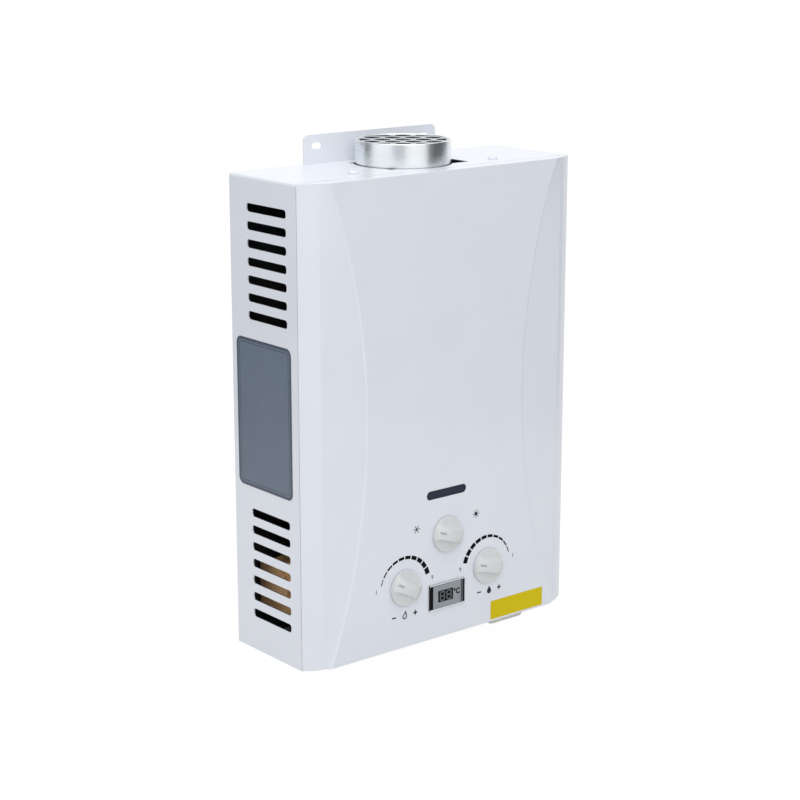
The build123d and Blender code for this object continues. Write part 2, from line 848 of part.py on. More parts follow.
# Burner bars: mixing foot, thin blade and ported head, with a venturi mouth at the front
bar_rear = chamber_rear + sheet + bar_end_gap
bar_front = chamber_front - sheet - bar_end_gap
with BuildPart() as burner_bars:
    for x in bar_places:
        with BuildSketch(front_plane(bar_rear, x)):
            with BuildLine():
                Polyline(
                    (0, rail_high),
                    (bar_foot_width / 2, rail_high),
                    (bar_foot_width / 2, rail_high + bar_foot_rise),
                    (bar_blade_width / 2, rail_high + bar_foot_rise + bar_blade_width),
                    (bar_blade_width / 2, bar_neck_height),
                    (bar_head_width / 2, bar_head_height),
                    (bar_head_width / 2, bar_top_height),
                    (0, bar_top_height),
                )
                mirror(about=Plane.YZ)
            make_face()
        extrude(amount=bar_front - bar_rear)
    with BuildSketch(level_plane(bar_top_height - port_drop, 0, flue_depth)):
        with GridLocations(bar_spacing, port_spacing, bar_count, port_count):
            Rectangle(port_length, port_width)
    extrude(amount=port_drop, mode=Mode.SUBTRACT)
    with BuildSketch(front_plane(bar_front - venturi_length, 0, nozzle_height)):
        with GridLocations(bar_spacing, bar_spacing, bar_count, 1):
            Circle(venturi_radius)
    extrude(amount=venturi_length, mode=Mode.SUBTRACT)
save(burner_bars.part, "burner_bars")

# Gas manifold and its nozzles
with BuildPart() as gas_manifold:
    with BuildSketch(side_plane(0, manifold_rear + manifold_reach / 2, nozzle_height)):
        RectangleRounded(manifold_reach, manifold_rise, manifold_corner)
    extrude(amount=manifold_length / 2, both=True)
save(gas_manifold.part, "gas_manifold")

with BuildPart() as manifold_nozzles:
    nozzle_tip_depth = bar_front + nozzle_tip_length / 2
    with BuildSketch(front_plane(nozzle_tip_depth, 0, nozzle_height)):
        with GridLocations(bar_spacing, bar_spacing, bar_count, 1):
            Circle(nozzle_tip_radius)
    extrude(amount=nozzle_tip_length)
    with BuildSketch(front_plane(nozzle_tip_depth + nozzle_tip_length, 0, nozzle_height)):
        with GridLocations(bar_spacing, bar_spacing, bar_count, 1):
            RegularPolygon(nozzle_radius, 6)
    extrude(amount=manifold_rear - nozzle_tip_depth - nozzle_tip_length)
save(manifold_nozzles.part, "manifold_nozzles")

# Season valve under the manifold, with the boss that guides its spindle
with BuildPart() as season_valve:
    with BuildSketch(level_plane(season_body_low, 0, season_rear + season_body_reach / 2)):
        RectangleRounded(season_body_width, season_body_reach, gas_body_corner)
    extrude(amount=manifold_low - season_body_low)
    with BuildSketch(front_plane(season_front - overrun, 0, season_knob_height)):
        Circle(season_boss_radius)
    extrude(amount=overrun + season_boss_length)
    with BuildSketch(front_plane(season_rear + gas_body_corner, 0, season_knob_height)):
        Circle(spindle_radius + running_gap)
    extrude(amount=season_body_reach + season_boss_length, mode=Mode.SUBTRACT)
save(season_valve.part, "season_valve")


def knob_form(x, height, drop):
    """Turned form of a knob: a plain rim under a domed face that is lowered by a drop."""
    middle = spot(x, knob_back, height)
    with BuildPart() as form:
        with BuildSketch(Plane(origin=middle, x_dir=(1, 0, 0), z_dir=(0, 0, -1))):
            with BuildLine():
                rim = (knob_radius, knob_rim_rise - drop)
                dome = TangentArc((0, knob_rise - drop), rim, tangent=(1, 0))
                Polyline(rim, (knob_radius, 0), (0, 0), dome @ 0)
            make_face()
        revolve(axis=Axis(middle, (0, -1, 0)))
    return form.part


def pointer_pocket(x, height, pointer):
    """Cutter of the pointer mark: a short slot of even depth below the domed face."""
    lowered = knob_form(x, height, pointer_drop)
    with BuildPart() as pocket:
        with BuildSketch(front_plane(knob_back, x, height, pointer)):
            with Locations((knob_radius - pointer_inset - pointer_length / 2, 0)):
                SlotOverall(pointer_length, pointer_width)
        extrude(amount=knob_rise)
        add(lowered, mode=Mode.SUBTRACT)
    return pocket.part


def knob(x, height, pointer):
    """Knob turned so that its pointer mark stands at an angle, counted anticlockwise from the right."""
    turned = knob_form(x, height, 0)
    pocket = pointer_pocket(x, height, pointer)
    with BuildPart() as body:
        add(turned)
        with BuildSketch(front_plane(knob_back - knob_hub_length, x, height, pointer)):
            Circle(knob_hub_radius)
        extrude(amount=knob_hub_length)
        across = Plane(
            origin=spot(x, knob_back, height),
            x_dir=front_plane(0, 0, 0, pointer).y_dir,
            z_dir=front_plane(0, 0, 0, pointer).x_dir,
        )
        grip_drop = knob_rise - knob_disc_rise
        grip_spread = grip_root_half_width - grip_half_width
        for side in (-1, 1):
            with BuildSketch(across):
                with BuildLine():
                    scoop = ThreePointArc(
                        (side * grip_half_width, knob_rise),
                        (
                            side * (grip_half_width + grip_spread * scoop_mid_y_share),
                            knob_disc_rise + grip_drop * scoop_mid_z_share,
                        ),
                        (side * grip_root_half_width, knob_disc_rise),
                    )
                    Polyline(
                        scoop @ 1,
                        (side * (knob_radius + overrun), knob_disc_rise),
                        (side * (knob_radius + overrun), knob_rise),
                        scoop @ 0,
                    )
                make_face()
            extrude(amount=knob_radius + overrun, both=True, mode=Mode.SUBTRACT)
        fillet(body.edges().group_by(Axis.Y)[0], knob_edge)
        add(pocket, mode=Mode.SUBTRACT)
        with BuildSketch(front_plane(knob_back - knob_hub_length, x, height)):
            Circle(spindle_radius + running_gap)
        extrude(amount=knob_hub_length + spindle_in_knob, mode=Mode.SUBTRACT)
    return body.part


def spindle(x, height, inner_depth):
    """Round spindle from a valve to the inside of its knob."""
    with BuildPart() as rod:
        with BuildSketch(front_plane(inner_depth, x, height)):
            Circle(spindle_radius)
        extrude(amount=knob_back + spindle_in_knob - spindle_end_gap - inner_depth)
    return rod.part


save(knob(-knob_offset, knob_height, gas_pointer), "gas_knob")
save(knob(knob_offset, knob_height, water_pointer), "water_knob")
save(knob(0, season_knob_height, season_pointer), "season_knob")
save(spindle(-knob_offset, knob_height, gas_bore_depth + spindle_end_gap), "gas_spindle")
save(spindle(knob_offset, knob_height, valve_depth + spindle_end_gap), "water_spindle")
save(spindle(0, season_knob_height, season_rear + gas_body_corner + spindle_end_gap), "season_spindle")

# Display: a bevelled frame, proud of the front, and the read-out module behind it
with BuildPart() as display_bezel:
    bezel_front = field_depth + bezel_proud
    bezel_back = field_depth - bezel_neck_length
    with BuildSketch(front_plane(field_depth, 0, bezel_height)):
        RectangleRounded(bezel_width, bezel_rise, bezel_corner)
    extrude(amount=bezel_proud)
    with BuildSketch(front_plane(bezel_back, 0, bezel_height)):
        Rectangle(bezel_neck_width, bezel_neck_rise)
    extrude(amount=bezel_neck_length)
    with BuildSketch(front_plane(bezel_back, 0, bezel_height)):
        Rectangle(bezel_width - 2 * bezel_back_margin, bezel_rise - 2 * bezel_back_margin)
    with BuildSketch(front_plane(bezel_front, 0, bezel_height)):
        Rectangle(bezel_width - 2 * bezel_front_margin, bezel_rise - 2 * bezel_front_margin)
    loft(mode=Mode.SUBTRACT)
save(display_bezel.part, "display_bezel")

with BuildPart() as display_module:
    with BuildSketch(front_plane(bezel_back - module_reach, 0, bezel_height)):
        module_width = bezel_neck_width - 2 * module_inset
        module_rise = bezel_neck_rise - 2 * module_inset
        RectangleRounded(module_width, module_rise, module_corner)
    extrude(amount=module_reach)
    with BuildSketch(front_plane(bezel_back - module_reach - board_thickness, 0, bezel_height)):
        Rectangle(bezel_width + 2 * board_margin, bezel_rise + 2 * board_margin)
    extrude(amount=board_thickness)
save(display_module.part, "display_module")

# Gas valve: a square casting along X with the seat of the poppet inside
with BuildPart() as gas_valve_body:
    with BuildSketch(side_plane(gas_body_left, valve_depth, valve_height)):
        RectangleRounded(gas_body_size, gas_body_size, gas_body_corner)
    extrude(amount=gas_body_right - gas_body_left)
    with BuildSketch(front_plane(gas_body_front - overrun, -knob_offset, knob_height)):
        Circle(gas_boss_radius)
    extrude(amount=overrun + gas_boss_length)
    with BuildSketch(level_plane(gas_boss_low, gas_stub_x, valve_depth)):
        Circle(inlet_boss_radius)
    extrude(amount=inlet_boss_drop)
    for left, right, radius in (
        (gas_body_left, seat_left, upstream_radius),
        (seat_left, seat_right, seat_hole_radius),
        (seat_right, downstream_right, downstream_radius),
        (downstream_right, gas_body_right, rod_radius + running_gap),
    ):
        with BuildSketch(side_plane(left, valve_depth, valve_height)):
            Circle(radius)
        extrude(amount=right - left, mode=Mode.SUBTRACT)
    with BuildSketch(level_plane(gas_boss_low, gas_stub_x, valve_depth)):
        Circle(inlet_port_radius)
    extrude(amount=valve_height - gas_boss_low, mode=Mode.SUBTRACT)
    with BuildSketch(level_plane(valve_height, riser_offset, valve_depth)):
        Circle(riser_radius - riser_wall)
    extrude(amount=gas_body_size, mode=Mode.SUBTRACT)
    with BuildSketch(front_plane(gas_bore_depth, -knob_offset, knob_height)):
        Circle(spindle_radius + running_gap)
    extrude(amount=gas_body_size, mode=Mode.SUBTRACT)
save(gas_valve_body.part, "gas_valve_body")

# Cap of the gas valve: a thick plate whose top edge falls towards the wall
with BuildPart() as gas_valve_cap:
    gas_cap_half = gas_cap_size / 2
    with BuildSketch(side_plane(gas_body_left - gas_cap_thickness, valve_depth, valve_height)) as cap_face:
        with BuildLine():
            Polyline(
                (-gas_cap_half, -gas_cap_half),
                (gas_cap_half, -gas_cap_half),
                (gas_cap_half, gas_cap_half - gas_cap_slope),
                (-gas_cap_half, gas_cap_half),
                close=True,
            )
        make_face()
        fillet(cap_face.vertices(), gas_cap_corner)
    extrude(amount=gas_cap_thickness)
    gas_cap_end = gas_body_left - gas_cap_thickness - gas_cap_dome_rise
    with BuildSketch(side_plane(gas_cap_end, valve_depth, valve_height)):
        Circle(gas_cap_dome_radius)
    extrude(amount=gas_cap_dome_rise)
save(gas_valve_cap.part, "gas_valve_cap")

with BuildPart() as gas_poppet:
    with BuildSketch(side_plane(seat_left - poppet_thickness, valve_depth, valve_height)):
        Circle(poppet_radius)
    extrude(amount=poppet_thickness)
save(gas_poppet.part, "gas_poppet")

# Return spring between the cap and the poppet
with BuildPart() as return_spring:
    spring_left = gas_body_left + spring_end_gap + spring_wire
    spring_right = seat_left - poppet_thickness - spring_end_gap - spring_wire
    spring_pitch = (spring_right - spring_left) / spring_turns
    with BuildLine() as winding:
        Helix(
            pitch=spring_pitch,
            height=spring_right - spring_left,
            radius=spring_radius,
            center=spot(spring_left, valve_depth, valve_height),
            direction=(1, 0, 0),
        )
    with BuildSketch(Plane(origin=winding.line @ 0, z_dir=winding.line % 0)):
        Circle(spring_wire)
    sweep(path=winding.line, is_frenet=True)
save(return_spring.part, "return_spring")

riser_end = -season_body_width / 2
riser_depth = season_rear + season_body_reach / 2
riser_points = [
    spot(riser_offset, valve_depth, gas_body_top),
    spot(riser_offset, valve_depth, riser_height),
    spot(riser_offset, riser_depth, riser_height),
    spot(riser_end, riser_depth, riser_height),
]
save(pipe(riser_points, riser_bend, riser_radius, riser_wall), "gas_riser")

# Push rod: it carries the diaphragm plate, the collar that trips the switch, and the poppet
with BuildPart() as push_rod:
    plate_right = diaphragm_left - rod_plate_gap
    with BuildSketch(side_plane(seat_left, valve_depth, valve_height)):
        Circle(rod_radius)
    extrude(amount=plate_right - seat_left)
    with BuildSketch(side_plane(plate_right - rod_plate_thickness, valve_depth, valve_height)):
        Circle(rod_plate_radius)
    extrude(amount=rod_plate_thickness)
    with BuildSketch(side_plane(rod_collar_left, valve_depth, valve_height)):
        Circle(rod_collar_radius)
    extrude(amount=rod_collar_right - rod_collar_left)
save(push_rod.part, "push_rod")

# Water valve: dry cover on the left, diaphragm, and the wet body with its ports and regulator boss
with BuildPart() as water_valve_cover:
    with BuildSketch(side_plane(water_cover_left, valve_depth, valve_height)):
        Circle(water_radius)
    extrude(amount=diaphragm_left - water_cover_left)
    chamfer(water_valve_cover.edges().group_by(Axis.X)[0], water_edge)
    with BuildSketch(side_plane(dry_chamber_left, valve_depth, valve_height)):
        Circle(water_chamber_radius)
    extrude(amount=diaphragm_left - dry_chamber_left, mode=Mode.SUBTRACT)
    with BuildSketch(side_plane(water_cover_left, valve_depth, valve_height)):
        Circle(rod_radius + running_gap)
    extrude(amount=dry_chamber_left - water_cover_left, mode=Mode.SUBTRACT)
save(water_valve_cover.part, "water_valve_cover")

with BuildPart() as diaphragm:
    with BuildSketch(side_plane(diaphragm_left, valve_depth, valve_height)):
        Circle(water_radius)
    extrude(amount=diaphragm_thickness)
save(diaphragm.part, "diaphragm")

with BuildPart() as water_valve_body:
    with BuildSketch(side_plane(diaphragm_right, valve_depth, valve_height)):
        Circle(water_radius)
    extrude(amount=water_body_right - diaphragm_right)
    with BuildSketch(front_plane(valve_depth - water_boss_radius, knob_offset, knob_height)):
        Circle(water_boss_radius)
    extrude(amount=water_boss_depth - valve_depth + water_boss_radius)
    with BuildSketch(side_plane(water_body_right - overrun, valve_depth, valve_height)):
        Rectangle(water_arm_size, water_arm_size)
    extrude(amount=overrun + knob_offset - water_body_right)
    with BuildSketch(level_plane(valve_height, water_port_offset, valve_depth)):
        Circle(water_port_radius)
    extrude(amount=water_port_rise)
    with BuildSketch(level_plane(cold_boss_low, water_port_offset, valve_depth)):
        Circle(cold_boss_radius)
    extrude(amount=cold_boss_drop)
    with BuildSketch(side_plane(diaphragm_right, valve_depth, valve_height)):
        Circle(water_chamber_radius)
    extrude(amount=water_chamber_length, mode=Mode.SUBTRACT)
    with BuildSketch(level_plane(valve_height, water_port_offset, valve_depth)):
        Circle(pipe_radius - pipe_wall)
    extrude(amount=water_port_rise, mode=Mode.SUBTRACT)
    with BuildSketch(level_plane(cold_boss_low, water_port_offset, valve_depth)):
        Circle(stub_bore)
    extrude(amount=cold_boss_drop, mode=Mode.SUBTRACT)
    with BuildSketch(front_plane(valve_depth, knob_offset, knob_height)):
        Circle(spindle_radius + running_gap)
    extrude(amount=water_boss_depth - valve_depth, mode=Mode.SUBTRACT)
save(water_valve_body.part, "water_valve_body")

# Microswitch on the gas valve, with the lever that the collar of the push rod trips
pivot_at = (lever_pivot_x, switch_pivot_height)
with BuildPart() as microswitch:
    with BuildSketch(level_plane(gas_body_top, switch_right - switch_length / 2, valve_depth)):
        Rectangle(switch_length, switch_width)
    extrude(amount=switch_rise)
    fillet(microswitch.edges().filter_by(Axis.Z), switch_corner)
    ear_out = switch_width / 2 - switch_ear_width
    for near in (valve_depth - switch_width / 2, valve_depth + ear_out):
        with BuildSketch(front_plane(near)):
            ear_left = switch_right - switch_corner
            ear_right = switch_right + switch_ear_length
            with Locations(((ear_left + ear_right) / 2, gas_body_top + switch_ear_rise / 2)):
                Rectangle(ear_right - ear_left, switch_ear_rise)
            with Locations(pivot_at):
                Circle(lever_hub_radius)
            with Locations((lever_pivot_x, (switch_pivot_height + gas_body_top) / 2)):
                Rectangle(2 * lever_hub_radius, gas_body_top - switch_pivot_height + sheet)
            with Locations(pivot_at):
                Circle(lever_pin_radius + running_gap, mode=Mode.SUBTRACT)
        extrude(amount=switch_ear_width)
save(microswitch.part, "microswitch")

with BuildPart() as switch_lever:
    lever_tip = valve_height + lever_tip_above_rod
    with BuildSketch(front_plane(valve_depth - lever_width / 2)):
        with Locations(pivot_at):
            Circle(lever_hub_radius)
        with Locations((lever_pivot_x, (lever_tip + switch_pivot_height) / 2)):
            Rectangle(lever_thickness, switch_pivot_height - lever_tip)
    extrude(amount=lever_width)
    with BuildSketch(front_plane(valve_depth - switch_width / 2)):
        with Locations(pivot_at):
            Circle(lever_pin_radius)
    extrude(amount=switch_width)
save(switch_lever.part, "switch_lever")


def stub(x, top):
    """Threaded stub that hangs from its flange on the bottom of the case."""
    with BuildPart() as fitting:
        with BuildSketch(level_plane(-stub_drop, x, valve_depth)):
            Circle(stub_radius)
        extrude(amount=stub_drop - nut_rise)
        chamfer(fitting.edges().group_by(Axis.Z)[0], stub_chamfer)
        with BuildSketch(level_plane(-nut_rise, x, valve_depth)):
            Circle(stub_shank_radius)
        extrude(amount=nut_rise + sheet)
        with BuildSketch(level_plane(sheet, x, valve_depth)):
            RegularPolygon(stub_flange_radius, 6)
        extrude(amount=stub_flange_rise)
        with BuildSketch(level_plane(sheet, x, valve_depth)):
            Circle(stub_neck_radius)
        extrude(amount=top - sheet)
        with BuildSketch(level_plane(-stub_drop, x, valve_depth)):
            Circle(stub_bore)
        extrude(amount=stub_drop + top, mode=Mode.SUBTRACT)
    return fitting.part


save(stub(gas_stub_x, gas_boss_low), "gas_inlet")
save(stub(water_port_offset, cold_boss_low), "cold_inlet")

# Hot outlet: the same stub, closed above round the end of the hot pipe
hot_stub = stub(hot_stub_x, hot_stub_top)
with BuildPart() as hot_outlet:
    add(hot_stub)
    with BuildSketch(level_plane(hot_stub_top, hot_stub_x, valve_depth)):
        Circle(stub_neck_radius)
        Circle(pipe_radius - pipe_wall, mode=Mode.SUBTRACT)
    extrude(amount=pipe_wall)
save(hot_outlet.part, "hot_outlet")

with BuildPart() as stub_nuts:
    with BuildSketch(level_plane(-nut_rise)):
        for x in (gas_stub_x, water_port_offset, hot_stub_x):
            with Locations((x, -valve_depth)):
                RegularPolygon(nut_across / 2, 6, major_radius=False)
                Circle(stub_shank_radius + seat_gap, mode=Mode.SUBTRACT)
    extrude(amount=nut_rise)
save(stub_nuts.part, "stub_nuts")

with BuildPart() as inlet_filter:
    with BuildSketch(level_plane(filter_height, water_port_offset, valve_depth)):
        Circle(stub_bore - seat_gap)
    extrude(amount=filter_length)
    with BuildSketch(level_plane(filter_height, water_port_offset, valve_depth)):
        Circle(stub_bore - seat_gap - filter_wall)
    extrude(amount=filter_length - filter_wall, mode=Mode.SUBTRACT)
save(inlet_filter.part, "inlet_filter")

# Water pipes
cold_points = [
    spot(water_port_offset, valve_depth, water_port_top),
    spot(water_port_offset, valve_depth, cold_turn_height),
    spot(coil_offset, flue_depth, cold_turn_height),
    spot(coil_offset, flue_depth, coil_start_height),
]
cold_bend = cold_rise - sheet
save(pipe(cold_points, cold_bend, pipe_radius, pipe_wall), "cold_pipe")

hot_points = [
    spot(chamber_half + tube_stub, tube_depths[-1], tube_height),
    spot(hot_stub_x, tube_depths[-1], tube_height),
    spot(hot_stub_x, tube_depths[-1], hot_jog_high),
    spot(hot_stub_x, valve_depth, hot_jog_low),
    spot(hot_stub_x, valve_depth, hot_stub_top + pipe_wall),
]
save(pipe(hot_points, pipe_bend, pipe_radius, pipe_wall), "hot_pipe")

with BuildPart() as temperature_sensor:
    with BuildSketch(level_plane(probe_low, hot_stub_x, tube_depths[-1])):
        Circle(probe_radius)
        Circle(pipe_radius + seat_gap, mode=Mode.SUBTRACT)
    extrude(amount=probe_rise)
save(temperature_sensor.part, "temperature_sensor")

# Ignition box on the back, with a raised lid and two plugs below
with BuildPart() as ignition_box:
    with BuildSketch(front_plane(2 * sheet, ignition_x, ignition_height)):
        RectangleRounded(ignition_width, ignition_rise, ignition_corner)
    extrude(amount=ignition_reach)
    with BuildSketch(front_plane(2 * sheet + ignition_reach, ignition_x, ignition_height)):
        lid_width = ignition_width - 2 * ignition_lid_margin
        RectangleRounded(lid_width, ignition_rise - 2 * ignition_lid_margin, ignition_corner)
    extrude(amount=ignition_lid_rise)
    with BuildSketch(level_plane(ignition_height - ignition_rise / 2 - connector_rise, ignition_x)):
        with Locations((0, -2 * sheet - ignition_reach / 2)):
            Rectangle(connector_width, connector_reach)
    extrude(amount=connector_rise)
save(ignition_box.part, "ignition_box")


def electrode(x):
    """Ceramic rod on a small plate, with a bare wire over the burner."""
    with BuildPart() as rod:
        with BuildSketch(front_plane(chamber_front - electrode_inside, x, electrode_height)):
            Circle(electrode_radius)
        extrude(amount=electrode_inside + electrode_outside)
        wire_end = chamber_front - electrode_inside - electrode_wire_length
        with BuildSketch(front_plane(wire_end, x, electrode_height)):
            Circle(electrode_wire_radius)
        extrude(amount=electrode_wire_length)
        with BuildSketch(front_plane(chamber_front, x, electrode_height)):
            RectangleRounded(electrode_plate_width, electrode_plate_rise, electrode_radius)
        extrude(amount=sheet)
    return rod.part


save(electrode(spark_x), "spark_electrode")
save(electrode(sensor_x), "flame_sensor")

with BuildPart() as thermal_cutout:
    with BuildSketch(front_plane(chamber_front, cutout_x, cutout_height)):
        Circle(cutout_radius)
    extrude(amount=cutout_reach)
    with BuildSketch(front_plane(chamber_front + cutout_reach, cutout_x, cutout_height)):
        with GridLocations(cutout_radius, cutout_radius, 2, 1):
            Rectangle(sheet, cutout_tag_width)
    extrude(amount=cutout_tag_reach)
save(thermal_cutout.part, "thermal_cutout")

# Battery box: an open-bottomed sleeve for the cells, with fixing tabs and hinge ears
ear_offset = box_width / 2 - ear_inset - ear_width / 2
with BuildPart() as battery_box:
    with BuildSketch(level_plane(-box_rim_drop, box_middle, box_middle_depth)):
        RectangleRounded(box_width, box_reach, box_corner)
    extrude(amount=box_rim_drop + box_top)
    with BuildSketch(level_plane(-box_rim_drop, box_middle, box_middle_depth)):
        RectangleRounded(box_width - 2 * box_wall, box_reach - 2 * box_wall, box_corner - box_wall)
    extrude(amount=box_rim_drop + box_inner_top, mode=Mode.SUBTRACT)
    with BuildSketch(level_plane(sheet, box_middle, box_tab_depth)):
        for side in (-1, 1):
            with Locations((side * (box_width + box_tab_length) / 2, 0)):
                Rectangle(box_tab_length + sheet, box_tab_width)
    extrude(amount=box_wall)
    for side in (-1, 1):
        with BuildSketch(side_plane(box_middle + side * ear_offset)):
            with Locations((-hinge_depth, hinge_height)):
                Circle(knuckle_radius)
            with BuildLine():
                Polyline(
                    (-hinge_depth + knuckle_radius, hinge_height),
                    (-hinge_depth + knuckle_radius, ear_top - hinge_behind),
                    (-box_rear_depth - sheet, ear_top),
                    (-box_rear_depth - sheet, 0),
                    (-hinge_depth, hinge_height),
                    close=True,
                )
            make_face()
            with Locations((-hinge_depth, hinge_height)):
                Circle(hinge_pin_radius + running_gap, mode=Mode.SUBTRACT)
        extrude(amount=ear_width / 2, both=True)
save(battery_box.part, "battery_box")

with BuildPart() as battery_cells:
    with BuildSketch(level_plane(cell_low, box_middle, box_middle_depth)):
        with GridLocations(cell_step, cell_step, 1, cell_count):
            Circle(cell_radius)
    extrude(amount=cell_length)
    with BuildSketch(level_plane(cell_low + cell_length, box_middle, box_middle_depth)):
        with GridLocations(cell_step, cell_step, 1, cell_count):
            Circle(cell_nub_radius)
    extrude(amount=cell_nub_rise)
save(battery_cells.part, "battery_cells")

with BuildPart() as battery_contacts:
    with BuildSketch(level_plane(box_inner_top - contact_thickness, box_middle, box_middle_depth)):
        with GridLocations(cell_step, cell_step, 1, cell_count):
            Rectangle(contact_width, contact_width)
    extrude(amount=contact_thickness)
save(battery_contacts.part, "battery_contacts")

with BuildPart() as lid_pin:
    with BuildSketch(side_plane(box_middle, hinge_depth, hinge_height)):
        Circle(hinge_pin_radius)
    extrude(amount=ear_offset + ear_width / 2, both=True)
save(lid_pin.part, "lid_pin")

# Battery lid: a shallow rounded tray on a knuckle, with a pad that holds the cells up
knuckle_half = ear_offset - ear_width / 2 - knuckle_gap
lid_rear = box_rear_depth + lid_rear_gap
lid_reach = box_front_depth - lid_rear
with BuildPart() as battery_lid:
    with BuildSketch(level_plane(-lid_drop, box_middle, lid_rear + lid_reach / 2)):
        Rectangle(box_width, lid_reach)
    extrude(amount=lid_drop + lid_top)
    fillet(battery_lid.edges().group_by(Axis.Z)[0].filter_by(Axis.Y), lid_round)
    fillet(battery_lid.edges().group_by(Axis.Y)[0].filter_by(Axis.X).group_by(Axis.Z)[0], lid_round / 2)
    pad_width = box_inner_width - 2 * lid_pad_inset
    pad_reach = box_reach - 2 * box_wall - 2 * lid_pad_inset
    with BuildSketch(level_plane(lid_top, box_middle, box_middle_depth)):
        Rectangle(pad_width, pad_reach)
    extrude(amount=cell_low - lid_pad_gap - lid_top)
    with BuildSketch(side_plane(box_middle)):
        with Locations((-hinge_depth, hinge_height)):
            Circle(knuckle_radius)
        with Locations((-(hinge_depth + lid_rear + sheet) / 2, (hinge_height - lid_drop) / 2)):
            Rectangle(lid_rear + sheet - hinge_depth, lid_drop + hinge_height)
        with Locations((-hinge_depth, hinge_height)):
            Circle(hinge_pin_radius + running_gap, mode=Mode.SUBTRACT)
    extrude(amount=knuckle_half, both=True)
save(battery_lid.part, "battery_lid")
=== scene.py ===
"""Looks of a wall-hung gas water heater: enamelled case, flue, controls, printed marks and insides."""
import logging
import math
from dataclasses import dataclass
from enum import Enum
from typing import Callable, ClassVar, Iterable, Optional

import bmesh
import bpy
from bmesh.types import BMFace, BMesh, BMVert
from bpy.types import Material, Node, NodeSocket, NodeTree, Object
from mathutils import Matrix, Vector


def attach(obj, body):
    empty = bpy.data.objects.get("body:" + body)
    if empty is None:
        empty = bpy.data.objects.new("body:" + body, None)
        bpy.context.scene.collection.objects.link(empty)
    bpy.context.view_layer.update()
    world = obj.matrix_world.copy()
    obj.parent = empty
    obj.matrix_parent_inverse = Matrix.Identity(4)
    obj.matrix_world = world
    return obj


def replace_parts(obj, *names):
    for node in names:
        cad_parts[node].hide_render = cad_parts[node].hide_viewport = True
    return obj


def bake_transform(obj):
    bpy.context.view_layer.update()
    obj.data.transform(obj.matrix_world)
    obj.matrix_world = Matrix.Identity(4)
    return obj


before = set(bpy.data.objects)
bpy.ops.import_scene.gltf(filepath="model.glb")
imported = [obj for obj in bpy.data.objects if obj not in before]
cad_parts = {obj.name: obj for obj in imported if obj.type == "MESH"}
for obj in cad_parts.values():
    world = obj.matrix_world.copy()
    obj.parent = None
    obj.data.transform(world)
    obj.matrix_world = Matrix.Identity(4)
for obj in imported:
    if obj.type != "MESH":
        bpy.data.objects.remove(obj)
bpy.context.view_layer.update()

# Sizes are in millimetres: places to the right, depths out of the wall, heights above the case bottom
MM = 0.001

# Case bottom in the frame, and depth of the flat field in the middle of the cover
CASE_LOW = -414.5
FIELD_DEPTH = 102.0

# Ink and film lie this far off what carries them, and ink is this thick
PRINT_GAP = 0.03
PRINT_THICK = 0.05

# Points closer than this, in metres, are one point
MERGE_M = 1e-6

# Turns from flat on a table to the front of the heater and to its left side
FACING_FRONT = Matrix(((1, 0, 0), (0, 0, -1), (0, 1, 0)))
FACING_LEFT = Matrix(((0, 0, -1), (-1, 0, 0), (0, 1, 0)))

log = logging.getLogger("heater")


class Body(str, Enum):
    """Bodies of the heater that a piece can ride on."""

    CASE = "case"
    GAS = "gas_control"
    WATER = "water_control"
    SEASON = "season_control"
    DOOR = "battery_door"
    ROD = "valve_rod"


class Pattern(Enum):
    """How the surface of a finish was made."""

    SPRAYED = "sprayed"
    ROLLED = "rolled"
    CAST = "cast"
    MOULDED = "moulded"
    SPANGLED = "spangled"
    TURNED = "turned"


class Sign(Enum):
    """Small printed signs: what a knob sets."""

    FLAME = "flame"
    DROP = "drop"
    SUN = "sun"
    FROST = "frost"


def linear(hex_colour: str) -> tuple[float, float, float, float]:
    """Turn an sRGB hex colour into the linear values that a shader takes.

    Args:
        hex_colour: Six hex digits with a leading hash.

    Returns:
        Linear red, green, blue and full alpha.
    """
    values = [int(hex_colour[i : i + 2], 16) / 255 for i in (1, 3, 5)]
    red, green, blue = (v / 12.92 if v <= 0.04045 else ((v + 0.055) / 1.055) ** 2.4 for v in values)
    return red, green, blue, 1.0


def spot(x: float, depth: float, height: float) -> Vector:
    """Find a point of the frame.

    Args:
        x: Millimetres to the right of the middle.
        depth: Millimetres out of the wall.
        height: Millimetres above the bottom of the case.

    Returns:
        The point in metres.
    """
    return Vector((x, -depth, CASE_LOW + height)) * MM


def add_node(tree: NodeTree, kind: str, inputs: Optional[dict] = None, **settings: object) -> Node:
    """Add a node with its settings, socket values and links.

    Args:
        tree: Node tree that takes the node.
        kind: Type name of the node.
        inputs: Socket name or number to a value, or to the output socket that feeds it.
        settings: Properties of the node itself.

    Returns:
        The new node.
    """
    made = tree.nodes.new(kind)
    for name, value in settings.items():
        setattr(made, name, value)
    for key, value in (inputs or {}).items():
        if isinstance(value, NodeSocket):
            tree.links.new(value, made.inputs[key])
        else:
            made.inputs[key].default_value = value
    return made


